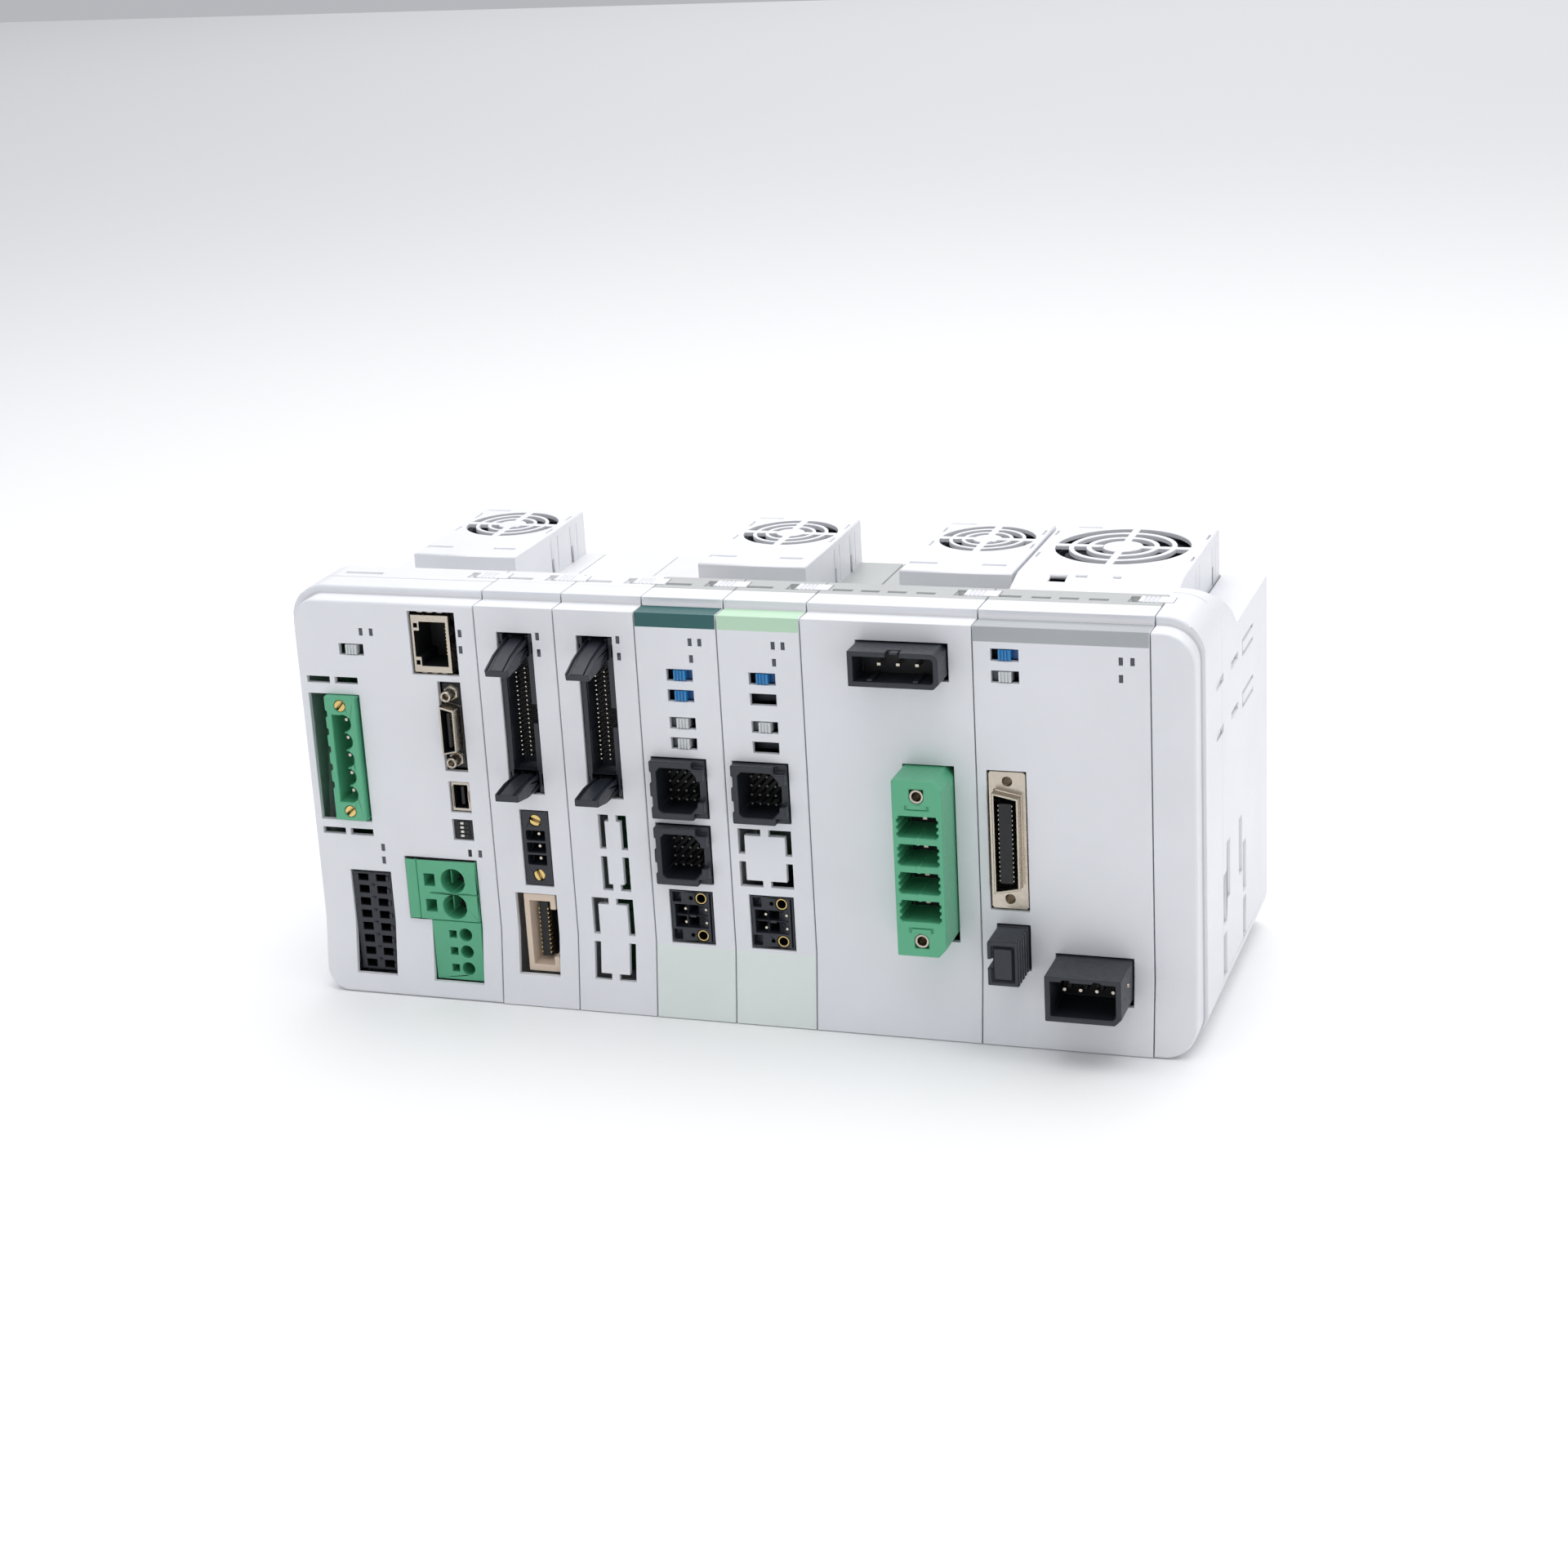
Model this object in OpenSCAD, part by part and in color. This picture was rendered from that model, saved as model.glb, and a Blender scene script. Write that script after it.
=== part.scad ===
/* [Row of units] */
// Width of the master unit at the left end
master_w = 56.6; // [56:0.2:80]
// Width of each input and output unit
io_w = 22.6; // [22.4:0.2:40]
// Width of each stepper drive unit
drive_w = 22.6; // [22.4:0.2:40]
// Width of the drive power unit
power_w = 45.2; // [45:0.2:70]
// Width of the servo unit
servo_w = 45.2; // [45:0.2:70]
// Width of the end unit
end_w = 12.6; // [12.4:0.2:24]
// Height of the front block, floor to top
row_h = 115; // [114:0.5:150]
// Drop from the top of the tall block to the rear roof
rear_drop = 13.8; // [7:0.2:21]
// Depth from the front face to the back
row_d = 95; // [95:0.5:140]
// Depth of the tall front block
block_d = 25.6; // [24:0.2:34]
// Narrow gap between neighbouring units
seam = 0.3; // [0.1:0.05:0.6]

/* [Covers and cases] */
// Depth of the ledge along the top front edge
ledge_d = 6.5; // [4:0.1:9]
// Drop from the top of the block to that ledge
ledge_drop = 2.4; // [1:0.1:5]
// Depth at which a front cover meets its case
split_d = 15.4; // [12:0.1:18]
// Height at which the face starts to lean forward
kick_h = 20.7; // [12:0.1:30]
// How far the foot of the face leans forward
kick_d = 2.9; // [1:0.1:6]
// Wall of the front covers
skin = 1.6; // [1.2:0.1:2]
// Wall of the cases
wall = 2.4; // [1.6:0.1:3]
// Radius of the outer corners of the row
corner_r = 10; // [6:0.5:14]
// Set-in of the face at the left end
left_inset = 3.2; // [1:0.1:5]
// Set-in of the face at the right end
right_inset = 1.2; // [0.6:0.1:2]
// Depth at which the end cover meets its case
end_split_d = 28; // [26:0.5:40]
// Depth over which the end unit slopes down to the roof
shoulder_d = 50; // [40:1:60]

/* [Mounting rail] */
// Height of the rail's centre above the floor
rail_z = 57.5; // [50:0.5:66]
// Height of the recess for the rail
rail_h = 35.6; // [35.2:0.1:36.6]
// Depth of that recess
rail_d = 7.5; // [6.8:0.1:7.5]
// Width of a rail clip
clip_w = 12; // [8:0.5:16]
// Thickness of a rail clip
clip_t = 3; // [2:0.1:3.6]

/* [Cooling fans] */
// Width of a small fan cover
fan_w = 30.6; // [30.2:0.1:31]
// Width of the large fan cover
large_fan_w = 44.4; // [43:0.1:44.6]
// Height of the fan covers above the roof
fan_h = 12.8; // [12.4:0.1:20]
// Wall of the fan covers
fan_wall = 1.2; // [1:0.1:1.4]
// Depth at which the small fan covers start
fan_front = 43.5; // [40:0.5:56]
// Axes of the small fans to the back
fan_axis_in = 17.2; // [16.6:0.2:19]
// Axis of the large fan to the back
large_axis_in = 21; // [20:0.2:24]
// Bore radius of a small fan
fan_bore_r = 13.2; // [12:0.1:13.4]
// Bore radius of the large fan
large_bore_r = 18.2; // [16:0.1:18.2]
// Number of blades on each rotor
blades = 7; // [5:1:9]

/* [Front connectors] */
// Depth of the circuit boards behind the face
board_y = 20; // [19:0.2:22]
// Depth of the sockets' cavities
cavity_d = 8; // [6:0.5:10]
// Length of the input and output headers
header_l = 44.2; // [40:0.2:44.6]
// Forward reach of the ejector levers
lever_reach = 13.5; // [10:0.5:14.5]
// Forward reach of the mains header
mains_reach = 12; // [8:0.5:14]
// Forward reach of the drive power header
drive_reach = 8.5; // [5:0.5:12]
// Forward reach of the motor connector
motor_reach = 14.5; // [14.5:0.5:18]
// Forward reach of the stop plug
stop_reach = 12; // [8:0.5:14]

/* [Switches] */
// Width of a switch slot
slot_w = 7.2; // [6.8:0.1:8]
// Height of a switch slot
slot_h = 3.2; // [3:0.1:3.6]
// Width of a switch knob
knob_w = 3.4; // [2.6:0.1:3.6]

/* [Hidden] */
$fn = 48;
over = 1;               // how far a cut runs past the face that it opens
fit = 0.3;              // clearance round a piece in its cut-out
slack = 0.15;           // clearance of a sliding piece in its groove
bush_fit = 0.05;        // running clearance of a pin in its bore

// Left edge of each unit, and the row as a whole
io_x = [master_w, master_w + io_w];
drive_x = [io_x[1] + io_w, io_x[1] + io_w + drive_w];
power_x = drive_x[1] + drive_w;
servo_x = power_x + power_w;
end_x = servo_x + servo_w;
row_w = end_x + end_w;
row_mid = (row_d - motor_reach) / 2;
cover_h = row_h - ledge_drop;
rear_h = row_h - rear_drop;
seams = [io_x[0], io_x[1], drive_x[0], drive_x[1], power_x, servo_x, end_x];

// Circuit boards
board_t = 1.6;
board_margin = 3;       // board edge to the floor and the top of the block

// Indicator lights: places as shares of unit width and cover height
light_w = 0.9;
light_h = 1.9;
light_sunk = 0.2;
master_light_shares = [[0.41, 0.924], [0.463, 0.924], [0.922, 0.93], [0.92, 0.89],
  [0.412, 0.377], [0.41, 0.344], [0.871, 0.377], [0.924, 0.377]];
io_light_shares = [[0.788, 0.931], [0.792, 0.891]];
drive_light_shares = [[0.672, 0.933], [0.79, 0.933], [0.677, 0.893]];
servo_light_shares = [[0.836, 0.931], [0.901, 0.931], [0.836, 0.891]];

// Slide switches: knobs, slots and the switch bodies behind them
mode_x = 19.9;
mode_z = 99;
switch_x = 11.8;
servo_switch_x = 8.3;
jog_z = [96, 90.4];
release_z = [82.9, 77.3];
servo_switch_z = [105.2, 99.5];
switch_y = 4.3;         // front of the switch bodies
switch_w = 9;
knob_proud = 0.3;
knob_air = 0.25;        // clearance above and below a knob
knob_gap = 0.3;         // knob to switch body

// Ethernet jack
jack_x = 44.2;
jack_z = 101.6;
jack_w = 13;
jack_h = 17;
jack_sunk = 0.6;
jack_hole_w = 9.6;
jack_hole_h = 12;
jack_hole_d = 12;

// Fieldbus header
bus_x = 15.6;
bus_z = 68.3;
bus_w = 9;
bus_h = 35.4;
bus_proud = 2;
bus_cavity_w = 5.4;
bus_cavity_h = 25;
bus_pin_y = 2.4;        // depth at which the pins start
bus_pitch = 5.08;
bus_pins = 5;
bus_screw_z = 15.1;     // from the middle of the header to a screw
bus_recess_w = 15.1;
bus_recess_h = 36.3;
bus_recess_x = 13.25;
bus_recess_z = 68;
bus_slot_w = 6.8;
bus_slot_h = 1.9;
bus_slot_x = [9.1, 17.4];
bus_slot_z = [46.6, 90.1];

// Teaching pendant port
teach_x = 47.7;
teach_z = 78.5;
teach_w = 6;
teach_h = 24.6;
teach_sunk = 1.4;
teach_shell_w = 4.2;
teach_shell_h = 13.6;
teach_shell_proud = 3.4;
teach_hole_w = 3;
teach_hole_h = 12.4;
teach_stud_proud = 3;
teach_stud_r = 1.5;
teach_stud_z = 9.3;

// Service port
usb_x = 47.9;
usb_z = 58.5;
usb_w = 5.4;
usb_h = 8.2;
usb_sunk = 0.8;
usb_hole_w = 3.6;
usb_hole_h = 7;

// Bank of small selector switches under the service port
bank_x = 47.9;
bank_z = 49.1;
bank_w = 5.4;
bank_h = 5.4;
bank_sunk = 0.8;

// System input and output header, two columns of spring contacts
sys_x = 18.75;
sys_z = 20.4;
sys_w = 11.6;
sys_h = 29.4;
sys_sunk = 0.6;
sys_rows = 8;
sys_hole_w = 3;
sys_hole_h = 2.2;
sys_column = 5.4;

// Power terminal: a tall block of two poles and a low one of three
term_x = [40.3, 43.55];
term_z = [31.3, 13.7];
term_w = [20.8, 14.3];
term_h = [17.6, 17.3];
term_proud = 0.6;
entry_r = 3.5;
entry_x = 43.6;
entry_z = [26.6, 34.1];
small_entry_r = 1.85;
small_entry_x = 46;
small_entry_z = [8.5, 13.5, 18.5];
key_w = 3.2;
key_h = 3.6;
key_x = 36.6;
small_key_w = 2.2;
small_key_x = 42.2;

// Input and output headers with two ejector levers each
head_x = 11.2;
head_z = 83.2;
head_w = 9.4;
head_sunk = 0.6;
head_cavity_w = 6.6;
head_cavity_l = 32;
lever_w = 6.6;
lever_pocket_w = 7.2;
lever_pocket_l = 6;
lever_y = 3.2;          // depth of the lever pins
lever_in = 3;           // lever pin to the end of the header
lever_t = 4;
lever_pin_r = 0.8;
lever_lean = 14;        // degrees that the upper levers lean in

// Flanged three-pole headers: one brake header, two stop headers
brake_x = 12.55;
brake_z = 45.2;
brake_w = 7.8;
brake_h = 21.2;
brake_screw_z = 7.85;
brake_pitch = 3.5;
brake_hole = 2.8;
stop_x = 10.8;
stop_z = 28.45;
stop_w = 11.8;
stop_h = 14.7;
stop_screw_x = 2.6;     // from the middle of the header to the screw column
stop_screw_z = 5.3;
stop_row = 3.5;
small_screw_r = 1.65;
flange_sunk = 0.4;
screw_l = 8;
screw_slot = 0.6;

// Extension bus header, an open shroud
ext_x = 11.8;
ext_z = 20.4;
ext_w = 9.2;
ext_h = 22.6;
ext_sunk = 0.6;
ext_hole_w = 6;
ext_hole_h = 18.6;
ext_recess_w = 12;
ext_recess_x = 11.1;

// Motor sockets
sock_x = 9.9;
sock_z = [46.5, 65];
sock_w = 14.8;
sock_h = 16;
sock_proud = 2.9;
sock_pin_y = 1.6;       // depth at which the pins start
sock_hole_w = 11;
sock_hole_h = 12.4;

// Knock-out frames over the connector places that a unit leaves unused
knock_t = 1.8;
knock_web = 2.2;
knock_io_x = [12.4, 10.7];
knock_io_z = [45.3, 20.6];
knock_io_w = [8, 11.9];
knock_io_h = [21.6, 23.2];
knock_drive_w = 14.8;
knock_drive_h = 16.2;

// Drive power header
dp_x = 26.8;
dp_z = 102.6;
dp_w = 23.6;
dp_h = 9.4;
dp_wall = 1.4;
dp_pitch = 5;
dp_pins = 3;

// Mains header with a threaded insert at each end
mains_x = 32.6;
mains_z = 51;
mains_w = 13;
mains_h = 47.6;
mains_pitch = 7.62;
mains_poles = 4;
mains_hole_w = 10;
mains_hole_h = 5.8;
insert_z = 19.6;        // from the middle of the header to an insert
insert_r = 1.25;
insert_d = 9;

// Encoder connector
enc_x = 7.8;
enc_z = 55.65;
enc_w = 9.8;
enc_h = 37.4;
enc_sunk = 0.6;
enc_shell_w = 6.8;
enc_shell_h = 27.6;
enc_proud = 2.4;
enc_hole_w = 4.8;
enc_hole_h = 19.6;
enc_screw_z = 15.95;
enc_screw_r = 1.25;
enc_screw_d = 8;

// Stop plug: a closed bridging plug pushed into its header
plug_x = 8.6;
plug_z = 26.7;
plug_w = 8.2;
plug_h = 12;
plug_notch = 2.6;
plug_ribs = 4;
plug_rib = 0.5;

// Motor connector, an open box with four poles
mot_x = 29.7;
mot_z = 19.3;
mot_w = 19.8;
mot_h = 12.4;
mot_wall = 1.5;
mot_pin_in = 7;         // front of the box to its pins
mot_poles = 4;
mot_pitch = 4.2;

// Contact pins
pin_r = 0.5;
fine_pin_r = 0.35;

// Board components: bus connectors, capacitors
bus_plug_w = 16;
bus_plug_h = 14;
bus_plug_d = 9;
bus_plug_z = 84;
cap_r = 8.5;
cap_l = 38;
cap_z = 86;

// Fans
fan_d = 10;             // thickness of a fan
fan_set_x = [35.2, 17.8, 29.3];
fan_back_gap = 0.7;     // fan covers to the back of the row
frame_air = 0.2;        // fan frame to its cover
tip_air = 0.5;          // blade tip to bore
hub_r = 6.4;
hub_bottom = 2;
hub_air = 0.4;
shaft_r = 1;
strut_w = 1.6;
strut_t = 1.6;
blade_t = 0.9;
blade_pitch = 42;
spoke_w = 2;
grille_shares = [[1, 0.8], [0.72, 0.54], [0.46, 0.3]];
large_front_gap = 0.4;  // large fan cover to the step of the block
large_front_h = 8.4;
large_slope_d = 20;
roof_hole_in = 1.4;
vent_w = 9;
vent_l = 1.2;

// Unit locks on top of the block
lock_y = 18.2;
lock_w = 5;
lock_l = 9;
lock_over = 2.2;        // reach of a lock into the next unit
lock_deep = 1.5;
lock_proud = 0.2;
lock_travel = 2.4;

// Flat top of the end case behind its cover, before it slopes down
shoulder_flat = 4;

// Slots in the top of each case
top_slot_y = 18.2;
top_slot_w = 1.8;
top_slot_deep = 1;
top_slot_shares = [[[0.19, 0.39]], [[0.05, 0.42]], [[0.04, 0.42]],
  [[0.07, 0.19], [0.24, 0.35], [0.4, 0.51], [0.57, 0.68]],
  [[0.05, 0.18], [0.24, 0.35], [0.4, 0.51], [0.57, 0.68]]];

// Slots in the floor that let the cooling air in
floor_slot = 2;
floor_slot_y = [32, 76];
floor_slot_pitch = 5;
floor_slot_gap = 6;     // first slot to the side of its unit

// Pockets and slots in the right side of the end unit
side_deep = 1;
side_pocket_w = 4.6;
side_slot_l = 9.6;
side_slot_h = 1.9;
side_slot_shares = [[0.26, 0.913], [0.485, 0.909], [0.26, 0.78], [0.485, 0.774]];
side_tab_shares = [[0.685, 0.908], [0.685, 0.767]];
side_tab_l = 16;
side_tab_h = 4.6;
side_pocket_shares = [[0.302, 0.245, 0.38], [0.352, 0.3, 0.455], [0.54, 0.3, 0.455],
  [0.6, 0.23, 0.37], [0.302, 0.1, 0.215], [0.6, 0.1, 0.21]];

// Rail clip
clip_foot = 4;          // clip to the floor
clip_hook = 1.5;        // reach of a hook behind the rail
rail_flange = 1.2;      // space for the edge of the rail
clip_travel = 3;
clip_slot_w = 5;
clip_slot_h = 1.6;
clip_slot_z = 2.5;

module row() translate([-row_w / 2, -row_mid, 0]) children();

module box(x0, x1, y0, y1, z0, z1) translate([x0, y0, z0]) cube([x1 - x0, y1 - y0, z1 - z0]);

// A block centred on a point of the face, from depth y0 to y1
module block(x, z, w, h, y0, y1) box(x - w / 2, x + w / 2, y0, y1, z - h / 2, z + h / 2);

module rod(x, z, r, y0, y1) translate([x, y1, z]) rotate([90, 0, 0]) cylinder(r = r, h = y1 - y0);

// An outline in depth and height, drawn out along the row
module prism(x0, x1, outline) translate([x0, 0, 0]) rotate([90, 0, 90])
  linear_extrude(x1 - x0) polygon(outline);

// What a rounded corner takes off, from the corner inwards
module corner_waste(x, z, r, dx, dz) translate([x, z]) mirror([dx < 0 ? 1 : 0, 0])
  mirror([0, dz < 0 ? 1 : 0]) difference() {
    translate([-over, -over]) square(r + over);
    translate([r, r]) circle(r, $fn = 96);
  }

// A panel across the row with rounded corners at either end
module panel(x0, x1, z0, z1, y0, y1, left_r = 0, right_r = 0)
  translate([0, y1, 0]) rotate([90, 0, 0]) linear_extrude(y1 - y0) difference() {
    translate([x0, z0]) square([x1 - x0, z1 - z0]);
    if (left_r > 0) corner_waste(x0, z0, left_r, 1, 1);
    if (left_r > 0) corner_waste(x0, z1, left_r, 1, -1);
    if (right_r > 0) corner_waste(x1, z0, right_r, -1, 1);
    if (right_r > 0) corner_waste(x1, z1, right_r, -1, -1);
  }

// A hollow front cover with its ledge and its leaning foot
module cover_shell(x, w, split = split_d, left_in = 0, right_in = 0, left_r = 0, right_r = 0) {
  x0 = x + seam / 2;
  x1 = x + w - seam / 2;
  difference() {
    union() {
      intersection() {
        prism(x0, x1, [[0, cover_h], [0, kick_h], [-kick_d, 0], [ledge_d, 0], [ledge_d, cover_h]]);
        panel(x0 + left_in, x1 - right_in, 0, cover_h, -kick_d - over, ledge_d + over,
          max(0, left_r - left_in), max(0, right_r - right_in));
      }
      panel(x0, x1, 0, row_h, ledge_d, split, left_r, right_r);
    }
    intersection() {
      prism(x0, x1, [[skin, cover_h - skin], [skin, kick_h], [skin - kick_d, skin],
        [split + over, skin], [split + over, cover_h - skin]]);
      panel(x0 + skin + left_in, x1 - skin - right_in, skin, cover_h - skin, -kick_d,
        split + over, max(0, left_r - left_in - skin), max(0, right_r - right_in - skin));
    }
  }
}

// A hole through the face
module face_hole(x, z, w, h) block(x, z, w, h, -kick_d - over, skin + over);

module fitted_hole(x, z, w, h) face_hole(x, z, w + 2 * fit, h + 2 * fit);

module light_holes(x, w, shares) for (s = shares)
  face_hole(x + s[0] * w, s[1] * cover_h, light_w + slack, light_h + slack);

// A ring of slots round an unused connector place, with webs that hold the blank
module knock_out(x, z, w, h) difference() {
  face_hole(x, z, w, h);
  block(x, z, w - 2 * knock_t, h - 2 * knock_t, -kick_d - 2 * over, skin + 2 * over);
  block(x, z, knock_web, h + 2 * over, -kick_d - 2 * over, skin + 2 * over);
  block(x, z, w + 2 * over, knock_web, -kick_d - 2 * over, skin + 2 * over);
}

module master_cover() color("gainsboro") row() difference() {
  cover_shell(0, master_w, left_in = left_inset, left_r = corner_r);
  fitted_hole(jack_x, jack_z, jack_w, jack_h);
  face_hole(bus_recess_x, bus_recess_z, bus_recess_w, bus_recess_h);
  for (x = bus_slot_x) for (z = bus_slot_z) face_hole(x, z, bus_slot_w, bus_slot_h);
  fitted_hole(teach_x, teach_z, teach_w, teach_h);
  fitted_hole(usb_x, usb_z, usb_w, usb_h);
  fitted_hole(bank_x, bank_z, bank_w, bank_h);
  fitted_hole(sys_x, sys_z, sys_w, sys_h);
  for (i = [0, 1]) fitted_hole(term_x[i], term_z[i], term_w[i], term_h[i]);
  face_hole(mode_x, mode_z, slot_w, slot_h);
  light_holes(0, master_w, master_light_shares);
}

module io_covers() color("gainsboro") row() {
  difference() {
    cover_shell(io_x[0], io_w);
    io_openings(io_x[0]);
    fitted_hole(io_x[0] + brake_x, brake_z, brake_w, brake_h);
    face_hole(io_x[0] + ext_recess_x, ext_z, ext_recess_w, ext_h + 2 * fit);
  }
  difference() {
    cover_shell(io_x[1], io_w);
    io_openings(io_x[1]);
    for (i = [0, 1]) knock_out(io_x[1] + knock_io_x[i], knock_io_z[i], knock_io_w[i], knock_io_h[i]);
  }
}

module io_openings(x) {
  fitted_hole(x + head_x, head_z, head_w, header_l);
  light_holes(x, io_w, io_light_shares);
}

module drive_covers() color("gainsboro") row() {
  for (i = [0, 1]) difference() {
    cover_shell(drive_x[i], drive_w);
    for (z = concat(jog_z, release_z)) face_hole(drive_x[i] + switch_x, z, slot_w, slot_h);
    fitted_hole(drive_x[i] + sock_x, sock_z[1], sock_w, sock_h);
    if (i == 0) fitted_hole(drive_x[i] + sock_x, sock_z[0], sock_w, sock_h);
    if (i == 1) knock_out(drive_x[i] + sock_x, sock_z[0], knock_drive_w, knock_drive_h);
    fitted_hole(drive_x[i] + stop_x, stop_z, stop_w, stop_h);
    light_holes(drive_x[i], drive_w, drive_light_shares);
  }
}

module power_cover() color("gainsboro") row() difference() {
  cover_shell(power_x, power_w);
  fitted_hole(power_x + dp_x, dp_z, dp_w, dp_h);
  fitted_hole(power_x + mains_x, mains_z, mains_w, mains_h);
}

module servo_cover() color("gainsboro") row() difference() {
  cover_shell(servo_x, servo_w);
  for (z = servo_switch_z) face_hole(servo_x + servo_switch_x, z, slot_w, slot_h);
  fitted_hole(servo_x + enc_x, enc_z, enc_w, enc_h);
  fitted_hole(servo_x + plug_x, plug_z, plug_w, plug_h);
  fitted_hole(servo_x + mot_x, mot_z, mot_w, mot_h);
  light_holes(servo_x, servo_w, servo_light_shares);
}

module end_cover() color("whitesmoke") row() difference() {
  cover_shell(end_x, end_w, split = end_split_d, right_in = right_inset, right_r = corner_r);
  lock_pocket(end_x);
}

// The body of a case in depth and height, drawn in by a wall
function case_outline(start, d, step, slope) = [[start - (d > 0 ? over : 0), d], [row_d - d, d],
  [row_d - d, rear_h - d], [slope - d, rear_h - d], [step - d, row_h - d],
  [start - (d > 0 ? over : 0), row_h - d]];

// The hollow for the rail, with the fixed hook at its top left standing
module rail_recess() difference() {
  box(-over, row_w - seam / 2 - wall, row_d - rail_d, row_d + over, rail_z - rail_h / 2, rail_z + rail_h / 2);
  box(-2 * over, row_w + 2 * over, row_d - rail_d + rail_flange, row_d - rail_d + 2 * rail_flange,
    rail_z + rail_h / 2 - clip_hook, rail_z + rail_h / 2 + over);
}

// A hollow case with the rail recess let into its back
module case_shell(x, w, left_r = 0, right_r = 0, start = split_d, step = block_d, slope = block_d) {
  x0 = x + seam / 2;
  x1 = x + w - seam / 2;
  difference() {
    intersection() {
      prism(x0, x1, case_outline(start, 0, step, slope));
      panel(x0, x1, 0, row_h, start, row_d + over, left_r, right_r);
    }
    difference() {
      intersection() {
        prism(x0 + wall, x1 - wall, case_outline(start, wall, step, slope));
        panel(x0 + wall, x1 - wall, wall, row_h - wall, start - over, row_d,
          max(0, left_r - wall), max(0, right_r - wall));
      }
      box(x, x + w, row_d - rail_d - wall, row_d, rail_z - rail_h / 2 - wall,
        rail_z + rail_h / 2 + wall);
      children();
    }
    rail_recess();
    for (s = seams) lock_pocket(s);
    for (i = [0 : len(seams) - 2]) bus_window(seams[i]);
    for (x = fan_x) roof_hole(x, fan_axis_y, fan_bore_r - roof_hole_in);
    roof_hole(large_fan_x, large_axis_y, large_bore_r - roof_hole_in);
  }
}

module roof_hole(x, y, r) translate([x, y, rear_h - wall - over])
  cylinder(r = r, h = wall + 2 * over, $fn = 96);

module bus_window(x) block(x, bus_plug_z, bus_plug_w + 2 * fit, bus_plug_h + 2 * fit,
  board_y + board_t - fit, board_y + board_t + bus_plug_d + fit);

module lock_pocket(x) box(x - lock_l - lock_travel + lock_over - slack, x + lock_over + slack,
  lock_y - slack, lock_y + lock_w + slack, row_h - lock_deep - slack, row_h + over);

module top_slots(x, w, shares) for (s = shares)
  box(x + s[0] * w, x + s[1] * w, top_slot_y, top_slot_y + top_slot_w,
    row_h - top_slot_deep, row_h + over);

module floor_slots(x, w) for (y = floor_slot_y)
  for (i = [0 : floor((w - 2 * floor_slot_gap - floor_slot) / floor_slot_pitch)])
    box(x + floor_slot_gap + i * floor_slot_pitch, x + floor_slot_gap + i * floor_slot_pitch + floor_slot,
      y, y + 4 * floor_slot, -over, wall + over);

// The channel that a rail clip runs in, closed at the back but for its foot
clip_y = row_d - rail_d + rail_flange;
clip_top = rail_z - rail_h / 2 + clip_hook;

module clip_channel(x) {
  box(x - clip_w / 2 - slack, x + clip_w / 2 + slack, clip_y - slack, clip_y + clip_t + slack,
    -over, rail_z - rail_h / 2 + over);
  box(x - clip_w / 2 - slack, x + clip_w / 2 + slack, clip_y - slack, row_d + over,
    -over, clip_foot + 2 * clip_travel);
}

module clip_boss(x) box(x - clip_w / 2 - wall, x + clip_w / 2 + wall, clip_y - wall, row_d,
  0, rail_z - rail_h / 2);

module master_case() color("gainsboro") row() difference() {
  case_shell(0, master_w, left_r = corner_r) clip_boss(clip_x[0]);
  clip_channel(clip_x[0]);
  top_slots(0, master_w, top_slot_shares[0]);
  floor_slots(0, master_w);
}

module io_cases() color("gainsboro") row() for (x = io_x) difference() {
  case_shell(x, io_w);
  top_slots(x, io_w, top_slot_shares[1]);
  floor_slots(x, io_w);
}

module drive_cases() color("silver") row() for (x = drive_x) difference() {
  case_shell(x, drive_w);
  top_slots(x, drive_w, top_slot_shares[2]);
  floor_slots(x, drive_w);
}

module power_case() color("silver") row() difference() {
  case_shell(power_x, power_w) clip_boss(clip_x[1]);
  clip_channel(clip_x[1]);
  top_slots(power_x, power_w, top_slot_shares[3]);
  floor_slots(power_x, power_w);
}

module servo_case() color("silver") row() difference() {
  case_shell(servo_x, servo_w) clip_boss(clip_x[2]);
  clip_channel(clip_x[2]);
  top_slots(servo_x, servo_w, top_slot_shares[4]);
  floor_slots(servo_x, servo_w);
}

module end_case() color("whitesmoke") row() difference() {
  case_shell(end_x, end_w, right_r = corner_r, start = end_split_d,
    step = end_split_d + shoulder_flat, slope = shoulder_d);
  side_marks();
}

// Shallow slots, tabs and pockets moulded into the right side
module side_marks() {
  x0 = row_w - seam / 2 - side_deep;
  x1 = row_w + over;
  for (s = side_slot_shares) if (s[0] * row_d - side_slot_l / 2 > end_split_d)
    box(x0, x1, s[0] * row_d - side_slot_l / 2, s[0] * row_d + side_slot_l / 2,
      s[1] * rear_h - side_slot_h / 2, s[1] * rear_h + side_slot_h / 2);
  for (s = side_tab_shares) translate([0, s[0] * row_d, s[1] * rear_h]) difference() {
    box(x0, x1, -side_tab_l / 2, side_tab_l / 2, -side_tab_h / 2, side_tab_h / 2);
    box(x0 - over, x1 + over, -side_tab_l / 2 + side_deep, side_tab_l / 2 + over,
      -side_tab_h / 2 + side_deep, side_tab_h / 2 - side_deep);
  }
  for (s = side_pocket_shares)
    box(x0, x1, s[0] * row_d, s[0] * row_d + side_pocket_w, s[1] * rear_h, s[2] * rear_h);
}

module ethernet_jack() color("silver") row() difference() {
  block(jack_x, jack_z, jack_w, jack_h, jack_sunk, board_y);
  block(jack_x, jack_z, jack_hole_w, jack_hole_h, jack_sunk - over, jack_sunk + jack_hole_d);
}

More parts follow.
